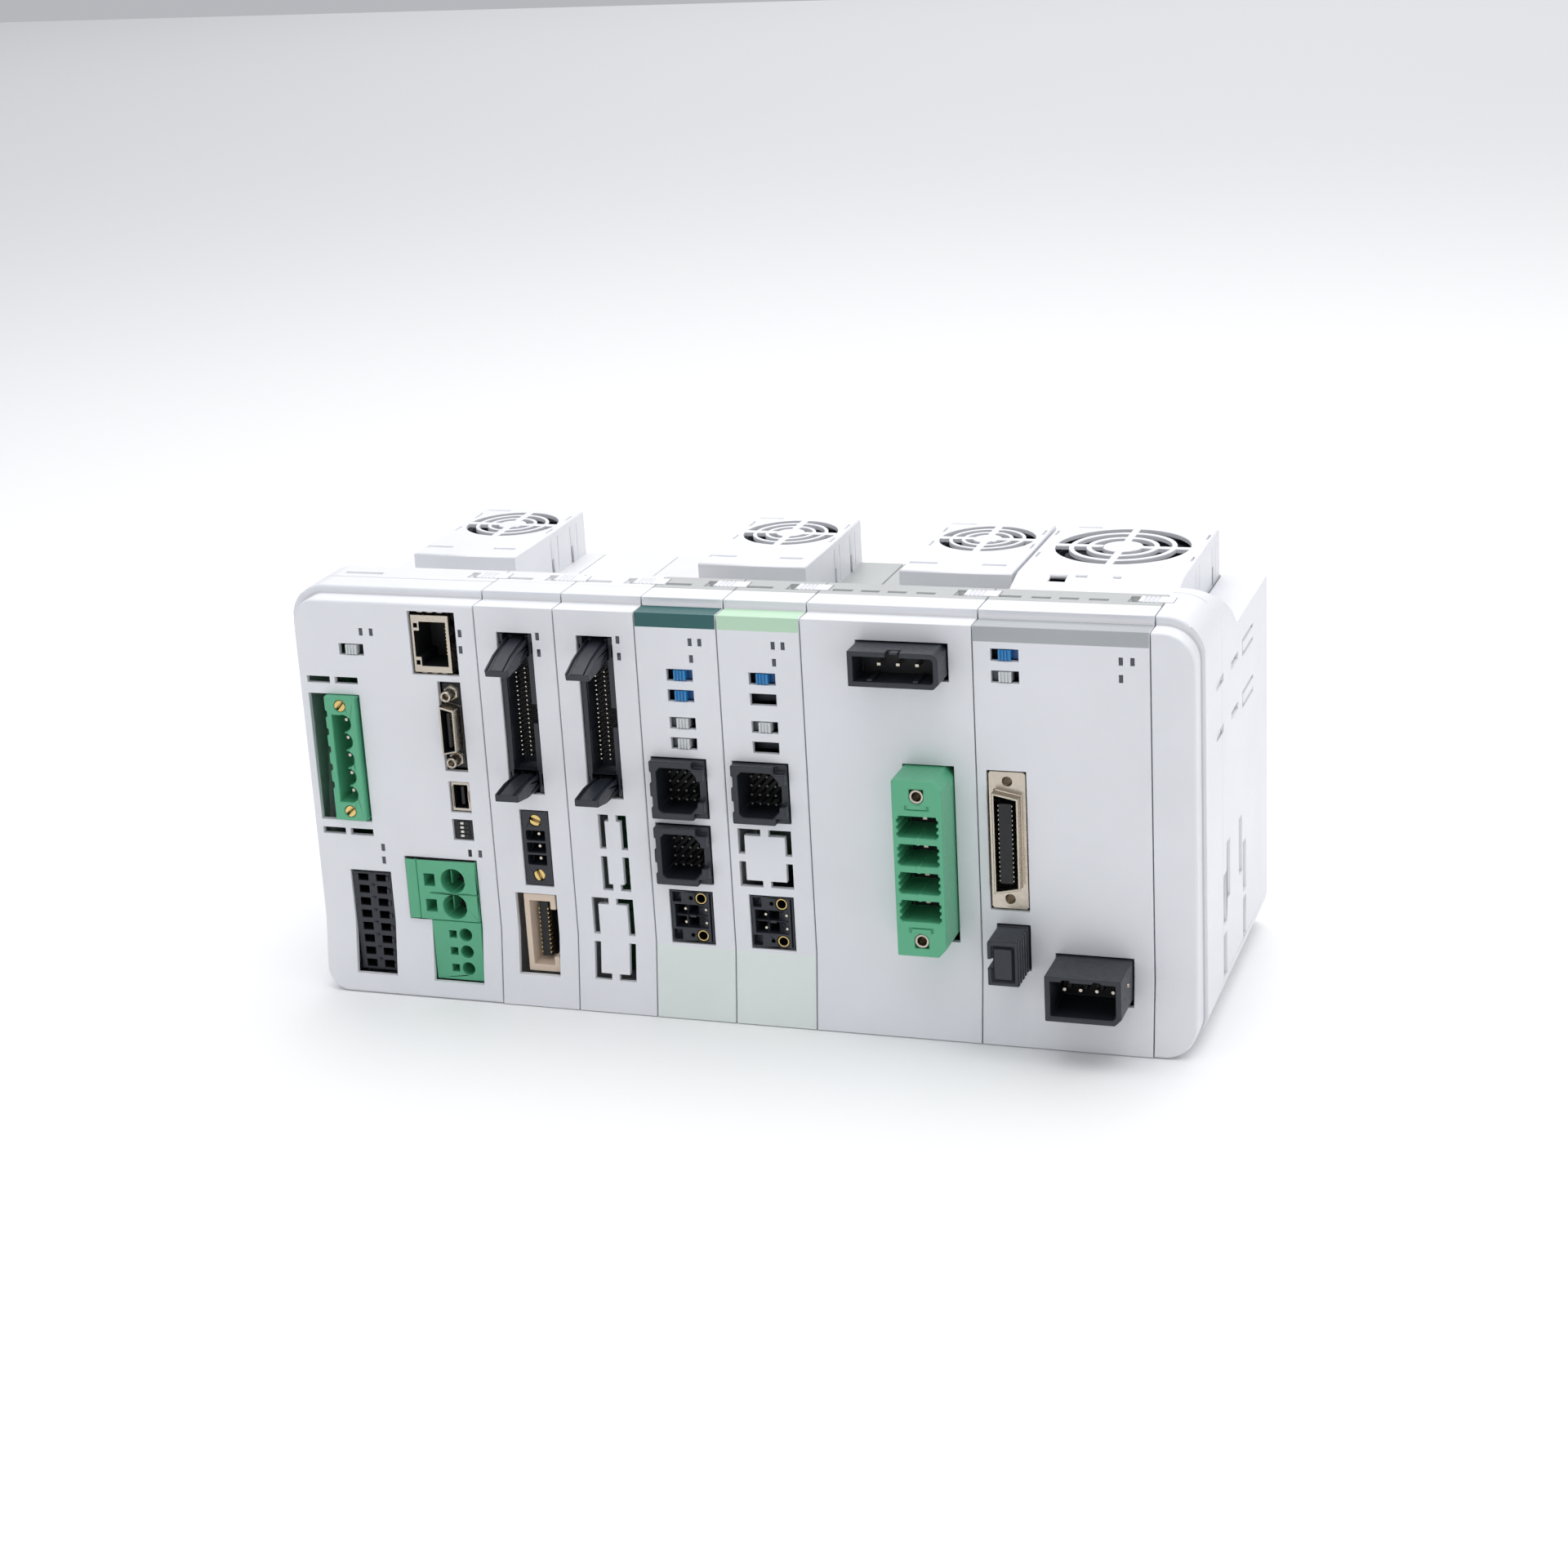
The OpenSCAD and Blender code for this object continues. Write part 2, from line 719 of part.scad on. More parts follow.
module teach_port() color("silver") row() difference() {
  union() {
    block(teach_x, teach_z, teach_w, teach_h, teach_sunk, board_y);
    block(teach_x, teach_z, teach_shell_w, teach_shell_h, -teach_shell_proud, teach_sunk);
    for (s = [-1, 1]) rod(teach_x, teach_z + s * teach_stud_z, teach_stud_r, -teach_stud_proud, teach_sunk);
  }
  block(teach_x, teach_z, teach_hole_w, teach_hole_h, -teach_shell_proud - over, cavity_d);
}

module usb_port() color("silver") row() difference() {
  block(usb_x, usb_z, usb_w, usb_h, usb_sunk, board_y);
  block(usb_x, usb_z, usb_hole_w, usb_hole_h, usb_sunk - over, cavity_d);
}

module system_io_header() color("dimgray") row() difference() {
  block(sys_x, sys_z, sys_w, sys_h, sys_sunk, board_y);
  for (i = [0 : sys_rows - 1]) for (s = [-1, 1])
    block(sys_x + s * sys_column / 2, sys_z + (i - (sys_rows - 1) / 2) * sys_h / sys_rows,
      sys_hole_w, sys_hole_h, sys_sunk - over, cavity_d);
}

module fieldbus_header() color("mediumseagreen") row() difference() {
  block(bus_x, bus_z, bus_w, bus_h, -bus_proud, board_y);
  block(bus_x, bus_z, bus_cavity_w, bus_cavity_h, -bus_proud - over, cavity_d);
  for (s = [-1, 1]) screw_bore(bus_x, bus_z + s * bus_screw_z, -bus_proud);
}

module screw_bore(x, z, front = flange_sunk) rod(x, z, small_screw_r + bush_fit, front - over, front + screw_l);

module power_terminal() color("mediumseagreen") row() difference() {
  for (i = [0, 1]) block(term_x[i], term_z[i], term_w[i], term_h[i], -term_proud, board_y);
  for (z = entry_z) {
    rod(entry_x, z, entry_r, -term_proud - over, cavity_d);
    block(key_x, z, key_w, key_h, -term_proud - over, cavity_d);
  }
  for (z = small_entry_z) {
    rod(small_entry_x, z, small_entry_r, -term_proud - over, cavity_d);
    block(small_key_x, z, small_key_w, small_key_w, -term_proud - over, cavity_d);
  }
}

module io_headers() color("dimgray") row() for (x = io_x) difference() {
  block(x + head_x, head_z, head_w, header_l, head_sunk, board_y);
  block(x + head_x, head_z, head_cavity_w, head_cavity_l, head_sunk - over, cavity_d);
  for (s = [-1, 1]) {
    block(x + head_x, head_z + s * header_l / 2, lever_pocket_w, 2 * lever_pocket_l,
      head_sunk - over, lever_y + lever_t / 2 + fit);
    lever_bore(x + head_x, head_z + s * (header_l / 2 - lever_in));
  }
}

module lever_bore(x, z) translate([x - head_w / 2 - over, lever_y, z]) rotate([0, 90, 0])
  cylinder(r = lever_pin_r + bush_fit, h = head_w + 2 * over);

module flanged_headers() color("dimgray") row() {
  difference() {
    block(io_x[0] + brake_x, brake_z, brake_w, brake_h, flange_sunk, board_y);
    for (i = [-1 : 1]) block(io_x[0] + brake_x, brake_z + i * brake_pitch, brake_w - brake_hole,
      brake_hole, flange_sunk - over, cavity_d);
    for (s = [-1, 1]) screw_bore(io_x[0] + brake_x, brake_z + s * brake_screw_z);
  }
  for (x = drive_x) difference() {
    block(x + stop_x, stop_z, stop_w, stop_h, flange_sunk, board_y);
    for (i = [-1 : 1]) for (s = [-1, 1]) if (i < 1)
      block(x + stop_x + i * stop_row, stop_z + s * stop_row / 2, brake_hole, brake_hole,
        flange_sunk - over, cavity_d);
    for (s = [-1, 1]) screw_bore(x + stop_x + stop_screw_x, stop_z + s * stop_screw_z);
  }
}

module extension_header() color("wheat") row() difference() {
  block(io_x[0] + ext_x, ext_z, ext_w, ext_h, ext_sunk, board_y);
  block(io_x[0] + ext_x, ext_z, ext_hole_w, ext_hole_h, ext_sunk - over, ext_sunk + cavity_d);
}

// Middles of the three motor sockets
sock_places = [[drive_x[0] + sock_x, sock_z[0]], [drive_x[0] + sock_x, sock_z[1]],
  [drive_x[1] + sock_x, sock_z[1]]];

module motor_sockets() color("dimgray") row() for (p = sock_places) difference() {
  block(p[0], p[1], sock_w, sock_h, -sock_proud, board_y);
  block(p[0], p[1], sock_hole_w, sock_hole_h, -sock_proud - over, cavity_d);
}

module drive_power_header() color("dimgray") row() difference() {
  block(power_x + dp_x, dp_z, dp_w, dp_h, -drive_reach, board_y);
  block(power_x + dp_x, dp_z, dp_w - 2 * dp_wall, dp_h - 2 * dp_wall, -drive_reach - over, 0);
}

module mains_header() color("mediumseagreen") row() difference() {
  block(power_x + mains_x, mains_z, mains_w, mains_h, -mains_reach, board_y);
  for (i = [0 : mains_poles - 1]) block(power_x + mains_x, mains_z + (i - (mains_poles - 1) / 2) * mains_pitch,
    mains_hole_w, mains_hole_h, -mains_reach - over, 0);
  for (s = [-1, 1]) rod(power_x + mains_x, mains_z + s * insert_z, insert_r,
    -mains_reach - over, -mains_reach + insert_d);
}

module encoder_connector() color("silver") row() difference() {
  union() {
    block(servo_x + enc_x, enc_z, enc_w, enc_h, enc_sunk, board_y);
    block(servo_x + enc_x, enc_z, enc_shell_w, enc_shell_h, -enc_proud, enc_sunk);
  }
  block(servo_x + enc_x, enc_z, enc_hole_w, enc_hole_h, -enc_proud - over, cavity_d);
  for (s = [-1, 1]) rod(servo_x + enc_x, enc_z + s * enc_screw_z, enc_screw_r, enc_sunk - over,
    enc_sunk + enc_screw_d);
}

module stop_plug() color("dimgray") row() difference() {
  block(servo_x + plug_x, plug_z, plug_w, plug_h, -stop_reach, board_y);
  block(servo_x + plug_x - plug_w / 2, plug_z, 2 * plug_rib + plug_notch, plug_notch,
    -stop_reach - over, 0);
  for (i = [1 : plug_ribs]) block(servo_x + plug_x + plug_w / 2, plug_z, 2 * plug_rib,
    plug_h + 2 * over, -i * stop_reach / (plug_ribs + 1) - plug_rib, -i * stop_reach / (plug_ribs + 1));
}

module motor_connector() color("dimgray") row() difference() {
  block(servo_x + mot_x, mot_z, mot_w, mot_h, -motor_reach, board_y);
  block(servo_x + mot_x, mot_z, mot_w - 2 * mot_wall, mot_h - 2 * mot_wall, -motor_reach - over, 0);
}

module flange_screw(x, z, front = flange_sunk) difference() {
  rod(x, z, small_screw_r, front, front + screw_l);
  block(x, z, 2 * small_screw_r + over, screw_slot, front - over, front + screw_slot);
}

module flange_screws() color("goldenrod") row() for (s = [-1, 1]) {
  flange_screw(bus_x, bus_z + s * bus_screw_z, -bus_proud);
  flange_screw(io_x[0] + brake_x, brake_z + s * brake_screw_z);
  for (x = drive_x) flange_screw(x + stop_x + stop_screw_x, stop_z + s * stop_screw_z);
}

// Pins that stand on the floor of the cavities
module contact_pins() color("goldenrod") row() {
  for (i = [0 : bus_pins - 1]) rod(bus_x, bus_z + (i - (bus_pins - 1) / 2) * bus_pitch, pin_r,
    bus_pin_y, cavity_d);
  for (i = [-1 : 1]) rod(io_x[0] + brake_x, brake_z + i * brake_pitch, pin_r, flange_sunk + over, cavity_d);
  for (p = sock_places) for (a = [-1.5 : 1.5]) for (b = [-1.5 : 1.5])
    rod(p[0] + a * sock_hole_w / 5, p[1] + b * sock_hole_h / 5, fine_pin_r, sock_pin_y, cavity_d);
  for (i = [0 : dp_pins - 1]) rod(power_x + dp_x + (i - (dp_pins - 1) / 2) * dp_pitch, dp_z, pin_r,
    -drive_reach + over, 0);
  for (i = [0 : mains_poles - 1]) rod(power_x + mains_x,
    mains_z + (i - (mains_poles - 1) / 2) * mains_pitch, pin_r, -mains_reach + over, 0);
  for (i = [0 : mot_poles - 1]) rod(servo_x + mot_x + (i - (mot_poles - 1) / 2) * mot_pitch, mot_z, pin_r,
    -motor_reach + mot_pin_in, 0);
}

module circuit_board(x, w, left_in = 0) box(x + seam / 2 + wall + slack + left_in,
  x + w - seam / 2 - wall - slack, board_y, board_y + board_t, board_margin, row_h - board_margin);

module circuit_boards() color("darkgreen") row() {
  circuit_board(0, master_w, left_in = left_inset);
  for (x = io_x) circuit_board(x, io_w);
  for (x = drive_x) circuit_board(x, drive_w);
  circuit_board(power_x, power_w);
  circuit_board(servo_x, servo_w);
}

module lights(x, w, shares) for (s = shares)
  block(x + s[0] * w, s[1] * cover_h, light_w, light_h, light_sunk, board_y);

module switch_body(x, z) block(x, z, switch_w, slot_h, switch_y, board_y);

// What the boards carry: lights, switches, bus plugs and capacitors
module board_components() color("darkslategray") row() {
  lights(0, master_w, master_light_shares);
  for (x = io_x) lights(x, io_w, io_light_shares);
  for (x = drive_x) lights(x, drive_w, drive_light_shares);
  lights(servo_x, servo_w, servo_light_shares);
  switch_body(mode_x, mode_z);
  for (x = drive_x) for (z = concat(jog_z, release_z)) switch_body(x + switch_x, z);
  for (z = servo_switch_z) switch_body(servo_x + servo_switch_x, z);
  block(bank_x, bank_z, bank_w, bank_h, bank_sunk, board_y);
  for (i = [0 : len(seams) - 2]) block(seams[i], bus_plug_z, bus_plug_w, bus_plug_h,
    board_y + board_t, board_y + board_t + bus_plug_d);
  rod(power_x + power_w / 2, cap_z / 2, cap_r, board_y + board_t, board_y + board_t + cap_l);
  rod(servo_x + servo_w / 2, cap_z / 2, cap_r, board_y + board_t, board_y + board_t + cap_l);
}

// Fan places
fan_x = [fan_set_x[0], drive_x[0] + fan_set_x[1], power_x + fan_set_x[2]];
large_fan_x = servo_x + servo_w / 2;
fan_back = row_d - fan_back_gap;
fan_top = rear_h + fan_h;
fan_axis_y = row_d - fan_axis_in;
large_axis_y = row_d - large_axis_in;

// Rings cut into the top of a fan cover, with four spokes left standing
module grille(x, y, r) translate([x, y, fan_top - fan_wall - over])
  linear_extrude(fan_wall + 2 * over) for (s = grille_shares) difference() {
    circle(s[0] * r, $fn = 96);
    circle(s[1] * r, $fn = 96);
    square([2 * r + over, spoke_w], center = true);
    square([spoke_w, 2 * r + over], center = true);
  }

module fan_covers() color("whitesmoke") row() {
  for (x = fan_x) difference() {
    box(x - fan_w / 2, x + fan_w / 2, fan_front, fan_back, rear_h, fan_top);
    box(x - fan_w / 2 + fan_wall, x + fan_w / 2 - fan_wall, fan_front + fan_wall, fan_back - fan_wall,
      rear_h - over, fan_top - fan_wall);
    grille(x, fan_axis_y, fan_bore_r);
  }
  difference() {
    large_cover_body(0);
    large_cover_body(fan_wall);
    grille(large_fan_x, large_axis_y, large_bore_r);
  }
}

module large_cover_body(d) prism(large_fan_x - large_fan_w / 2 + d, large_fan_x + large_fan_w / 2 - d,
  [[block_d + large_front_gap + d, rear_h - (d > 0 ? over : 0)],
   [block_d + large_front_gap + d, rear_h + large_front_h - d],
   [block_d + large_front_gap + large_slope_d + d, fan_top - d],
   [fan_back - d, fan_top - d], [fan_back - d, rear_h - (d > 0 ? over : 0)]]);

// A square fan frame with a bore, four struts and a bush for the rotor
module fan_frame(x, y, w, r) translate([x, y, rear_h]) difference() {
  union() {
    difference() {
      translate([-w / 2, -w / 2, 0]) cube([w, w, fan_d]);
      translate([0, 0, -over]) cylinder(r = r, h = fan_d + 2 * over, $fn = 96);
    }
    intersection() {
      union() {
        cylinder(r = hub_r, h = strut_t);
        translate([-w / 2, -strut_w / 2, 0]) cube([w, strut_w, strut_t]);
        translate([-strut_w / 2, -w / 2, 0]) cube([strut_w, w, strut_t]);
      }
      translate([-w / 2, -w / 2, 0]) cube([w, w, fan_d]);
    }
  }
  translate([0, 0, -over]) cylinder(r = shaft_r + bush_fit, h = fan_d);
}

small_frame_w = fan_w - 2 * fan_wall - 2 * frame_air;
large_frame_w = 2 * (fan_back - fan_wall - frame_air - large_axis_y);

module fan_frames() color("dimgray") row() {
  for (x = fan_x) fan_frame(x, fan_axis_y, small_frame_w, fan_bore_r);
  fan_frame(large_fan_x, large_axis_y, large_frame_w, large_bore_r);
}

// A rotor with pitched blades on a hub, its shaft down in the bush
module rotor(x, y, r) translate([x, y, rear_h]) {
  cylinder(r = shaft_r, h = hub_bottom + over);
  translate([0, 0, hub_bottom]) cylinder(r = hub_r, h = fan_d - hub_bottom - hub_air);
  intersection() {
    for (i = [0 : blades - 1]) rotate([0, 0, i * 360 / blades])
      translate([hub_r - over, -blade_t / 2, (fan_d + hub_bottom) / 2])
        rotate([blade_pitch, 0, 0]) translate([0, 0, -fan_d / 2]) cube([r, blade_t, fan_d]);
    translate([0, 0, hub_bottom + hub_air]) cylinder(r = r, h = fan_d - hub_bottom - 3 * hub_air, $fn = 96);
  }
}

module fan_rotor_a() color("dimgray") row() rotor(fan_x[0], fan_axis_y, fan_bore_r - tip_air);
module fan_rotor_b() color("dimgray") row() rotor(fan_x[1], fan_axis_y, fan_bore_r - tip_air);
module fan_rotor_c() color("dimgray") row() rotor(fan_x[2], fan_axis_y, fan_bore_r - tip_air);
module large_fan_rotor() color("dimgray") row() rotor(large_fan_x, large_axis_y, large_bore_r - tip_air);

module knob(x, z) row() block(x, z, knob_w, slot_h - 2 * knob_air, -knob_proud, switch_y - knob_gap);

module mode_knob() color("lightgray") knob(mode_x, mode_z);
module jog_knob_a() color("dodgerblue") knob(drive_x[0] + switch_x, jog_z[0]);
module jog_knob_b() color("dodgerblue") knob(drive_x[0] + switch_x, jog_z[1]);
module jog_knob_c() color("dodgerblue") knob(drive_x[1] + switch_x, jog_z[0]);
module jog_knob_d() color("dodgerblue") knob(servo_x + servo_switch_x, servo_switch_z[0]);
module release_knob_a() color("lightgray") knob(drive_x[0] + switch_x, release_z[0]);
module release_knob_b() color("lightgray") knob(drive_x[0] + switch_x, release_z[1]);
module release_knob_c() color("lightgray") knob(drive_x[1] + switch_x, release_z[0]);
module release_knob_d() color("lightgray") knob(servo_x + servo_switch_x, servo_switch_z[1]);

// An ejector lever on its pin; s is 1 at the top of a header and -1 at its foot
module lever(x, s, lean) row()
  translate([x + head_x, lever_y, head_z + s * (header_l / 2 - lever_in)]) rotate([s * lean, 0, 0]) {
    rotate([0, 90, 0]) cylinder(r = lever_t / 2, h = lever_w, center = true);
    rotate([0, 90, 0]) cylinder(r = lever_pin_r, h = head_w, center = true);
    prism(-lever_w / 2, lever_w / 2, [[0, -lever_t / 2], [0, lever_t / 2],
      [-lever_reach * 3 / 4, lever_t / 2], [-lever_reach - lever_y, lever_t / 4],
      [-lever_reach - lever_y, -lever_t / 4], [-lever_reach * 3 / 4, -lever_t / 2]]);
  }

module upper_lever_a() color("dimgray") lever(io_x[0], 1, lever_lean);
module lower_lever_a() color("dimgray") lever(io_x[0], -1, 0);
module upper_lever_b() color("dimgray") lever(io_x[1], 1, lever_lean);
module lower_lever_b() color("dimgray") lever(io_x[1], -1, 0);

// A flat slide that bridges two units
module unit_lock(i) color("whitesmoke") row()
  box(seams[i] - lock_l + lock_over, seams[i] + lock_over, lock_y, lock_y + lock_w,
    row_h - lock_deep, row_h + lock_proud);

module unit_lock_a() unit_lock(0);
module unit_lock_b() unit_lock(1);
module unit_lock_c() unit_lock(2);
module unit_lock_d() unit_lock(3);
module unit_lock_e() unit_lock(4);
module unit_lock_f() unit_lock(5);
module unit_lock_g() unit_lock(6);

// Middles of the three rail clips
clip_x = [master_w / 2, power_x + power_w / 2, servo_x + servo_w / 2];

module rail_clip(x) color("dimgray") row() difference() {
  box(x - clip_w / 2, x + clip_w / 2, clip_y, clip_y + clip_t, clip_foot, clip_top);
  block(x, clip_foot + clip_slot_z, clip_slot_w, clip_slot_h, clip_y - over, clip_y + clip_t + over);
}

module rail_clip_a() rail_clip(clip_x[0]);
module rail_clip_b() rail_clip(clip_x[1]);
module rail_clip_c() rail_clip(clip_x[2]);

master_cover();
io_covers();
drive_covers();
power_cover();
servo_cover();
end_cover();
master_case();
io_cases();
drive_cases();
power_case();
servo_case();
end_case();
ethernet_jack();
teach_port();
usb_port();
system_io_header();
fieldbus_header();
power_terminal();
io_headers();
flanged_headers();
extension_header();
motor_sockets();
drive_power_header();
mains_header();
encoder_connector();
stop_plug();
motor_connector();
flange_screws();
contact_pins();
circuit_boards();
board_components();
fan_covers();
fan_frames();
fan_rotor_a();
fan_rotor_b();
fan_rotor_c();
large_fan_rotor();
mode_knob();
jog_knob_a();
jog_knob_b();
jog_knob_c();
jog_knob_d();
release_knob_a();
release_knob_b();
release_knob_c();
release_knob_d();
upper_lever_a();
lower_lever_a();
upper_lever_b();
lower_lever_b();
unit_lock_a();
unit_lock_b();
unit_lock_c();
unit_lock_d();
unit_lock_e();
unit_lock_f();
unit_lock_g();
rail_clip_a();
rail_clip_b();
rail_clip_c();
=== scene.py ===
from math import cos, pi, radians, sin

import bmesh
import bpy
from mathutils import Euler, Matrix, Vector


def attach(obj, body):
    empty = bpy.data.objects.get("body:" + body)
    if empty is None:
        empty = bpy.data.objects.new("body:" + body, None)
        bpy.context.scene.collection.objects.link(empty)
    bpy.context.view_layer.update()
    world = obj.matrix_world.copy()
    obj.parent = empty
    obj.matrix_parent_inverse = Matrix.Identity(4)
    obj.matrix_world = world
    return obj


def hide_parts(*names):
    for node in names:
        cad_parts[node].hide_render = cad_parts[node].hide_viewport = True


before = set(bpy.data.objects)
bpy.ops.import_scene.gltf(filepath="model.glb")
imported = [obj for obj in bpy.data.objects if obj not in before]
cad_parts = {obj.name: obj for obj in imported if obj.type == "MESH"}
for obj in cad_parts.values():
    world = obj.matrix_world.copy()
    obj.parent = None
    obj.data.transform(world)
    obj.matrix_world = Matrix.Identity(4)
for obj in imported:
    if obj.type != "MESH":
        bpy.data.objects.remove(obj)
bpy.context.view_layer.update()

# Studio
# A plain pale table under a large soft light overhead, with weaker ones from
# the right and the front, and one for the table behind the row. The camera
# stands where the photograph was taken.
TO_ROW = Matrix.Translation((125.0, 40.25, 0.0)) @ Matrix.Scale(1000.0, 4)
TO_FRAME = TO_ROW.inverted()


def spot(x, y, z):
    """A point given in millimetres from the row's left end, its face and its foot."""
    return TO_FRAME @ Vector((x, y, z))


camera_data = bpy.data.cameras.new("camera")
camera_data.sensor_width = 36.0
camera_data.lens = 69.63
camera_data.clip_start = 0.01
camera = bpy.data.objects.new("camera", camera_data)
camera.location = spot(385.65, -701.01, 326.02)
camera.rotation_euler = Euler([radians(a) for a in (70.7946, 3.0628, 18.2023)])
bpy.context.scene.collection.objects.link(camera)
bpy.context.scene.camera = camera


def soft_light(name, place, aim, size, power, tint=(1.0, 1.0, 1.0)):
    """A square soft box at a place, turned towards a point; both in metres."""
    data = bpy.data.lights.new(name, "AREA")
    data.shape = "SQUARE"
    data.size = size
    data.energy = power
    data.color = tint
    lamp = bpy.data.objects.new(name, data)
    lamp.location = place
    lamp.rotation_euler = (Vector(aim) - Vector(place)).to_track_quat("-Z", "Y").to_euler()
    bpy.context.scene.collection.objects.link(lamp)


soft_light("overhead", (0.05, 0.1, 1.1), (0, 0.0, 0), 1.5, 13.0)
soft_light("from_right", (1.1, -0.1, 0.5), (0, 0, 0.05), 0.8, 1.6, (1.0, 0.99, 0.96))
soft_light("from_front", (-0.5, -1.3, 0.35), (0, 0, 0.05), 1.0, 1.3, (0.95, 0.97, 1.0))
soft_light("behind", (-0.3, 2.7, 1.7), (-0.3, 2.2, 0), 2.4, 17.0)

world = bpy.data.worlds.new("pale_room")
world.use_nodes = True
world.node_tree.nodes["Background"].inputs["Color"].default_value = (0.93, 0.95, 1.0, 1)
world.node_tree.nodes["Background"].inputs["Strength"].default_value = 0.5
bpy.context.scene.world = world
bpy.context.scene.view_settings.view_transform = "Standard"

table = bmesh.new()
bmesh.ops.create_grid(table, x_segments=8, y_segments=8, size=3.0)
bmesh.ops.translate(table, vec=(0, 0, -0.0002), verts=table.verts)
table_mesh = bpy.data.meshes.new("pale_table")
table.to_mesh(table_mesh)
table.free()
pale_table = bpy.data.objects.new("pale_table", table_mesh)
bpy.context.scene.collection.objects.link(pale_table)
table_white = bpy.data.materials.new("table_white")
table_white.use_nodes = True
table_white.node_tree.nodes["Principled BSDF"].inputs["Base Color"].default_value = (0.95, 0.95, 0.95, 1)
table_white.node_tree.nodes["Principled BSDF"].inputs["Roughness"].default_value = 0.6
table_mesh.materials.append(table_white)

# Cases
# Behind each front cover stands a moulded case that carries the boards and is
# hooked on the rail. The left three are near white, the others warm grey, all
# with a fine spark-eroded texture.
SEAMS = (56.6, 79.2, 101.8, 124.4, 147.0, 192.2, 237.4)
LEFT, RIGHT = 0.15, 249.85


def linear(r, g, b):
    """A colour given as on a screen, 0 to 255, for a shader."""
    return tuple(((c / 255 + 0.055) / 1.055) ** 2.4 if c > 10 else c / 3294.6 for c in (r, g, b)) + (1.0,)


def sockets(group, entries, exits):
    """Names the group's inputs and outputs and returns its two end nodes."""
    for name, kind, value in entries:
        socket = group.interface.new_socket(name=name, in_out="INPUT", socket_type=kind)
        if value is not None:
            socket.default_value = value
    for name, kind in exits:
        group.interface.new_socket(name=name, in_out="OUTPUT", socket_type=kind)
    return group.nodes.new("NodeGroupInput"), group.nodes.new("NodeGroupOutput")


NUMBER, COLOUR, ARROW = "NodeSocketFloat", "NodeSocketColor", "NodeSocketVector"


def noise_node(group, scale, detail, vector):
    node = group.nodes.new("ShaderNodeTexNoise")
    node.inputs["Scale"].default_value = scale
    node.inputs["Detail"].default_value = detail
    group.links.new(vector, node.inputs["Vector"])
    return node


def map_node(group, value, low, high, from_low=0.3, from_high=0.7):
    node = group.nodes.new("ShaderNodeMapRange")
    node.inputs["From Min"].default_value = from_low
    node.inputs["From Max"].default_value = from_high
    for end, amount in (("To Min", low), ("To Max", high)):
        if hasattr(amount, "is_linked"):
            group.links.new(amount, node.inputs[end])
        else:
            node.inputs[end].default_value = amount
    group.links.new(value, node.inputs["Value"])
    return node


def make_moulded():
    """Moulded plastic: a fine grain, and a slow drift in tone and shine."""
    g = bpy.data.node_groups.new("moulded_surface", "ShaderNodeTree")
    start, end = sockets(g, [("Vector", ARROW, None), ("Colour", COLOUR, (0.8, 0.8, 0.8, 1)),
                             ("Drift", NUMBER, 0.04), ("Shine", NUMBER, 0.4), ("Grain", NUMBER, 2500.0)],
                         [("Colour", COLOUR), ("Roughness", NUMBER), ("Height", NUMBER)])
    grain = noise_node(g, 2500.0, 3.0, start.outputs["Vector"])
    g.links.new(start.outputs["Grain"], grain.inputs["Scale"])
    slow = noise_node(g, 38.0, 4.0, start.outputs["Vector"])
    speck = noise_node(g, 700.0, 2.0, start.outputs["Vector"])
    less = g.nodes.new("ShaderNodeMath")
    less.operation = "SUBTRACT"
    less.inputs[0].default_value = 1.0
    g.links.new(start.outputs["Drift"], less.inputs[1])
    tone = map_node(g, slow.outputs["Fac"], less.outputs[0], 1.0)
    mix = g.nodes.new("ShaderNodeMix")
    mix.data_type = "RGBA"
    mix.blend_type = "MULTIPLY"
    mix.inputs["Factor"].default_value = 1.0
    g.links.new(start.outputs["Colour"], mix.inputs["A"])
    g.links.new(tone.outputs["Result"], mix.inputs["B"])
    g.links.new(mix.outputs["Result"], end.inputs["Colour"])
    rough = g.nodes.new("ShaderNodeMath")
    rough.operation = "MULTIPLY_ADD"
    spread = map_node(g, speck.outputs["Fac"], -0.05, 0.05)
    g.links.new(spread.outputs["Result"], rough.inputs[0])
    rough.inputs[1].default_value = 1.0
    g.links.new(start.outputs["Shine"], rough.inputs[2])
    g.links.new(rough.outputs[0], end.inputs["Roughness"])
    g.links.new(grain.outputs["Fac"], end.inputs["Height"])
    return g


MOULDED = make_moulded()


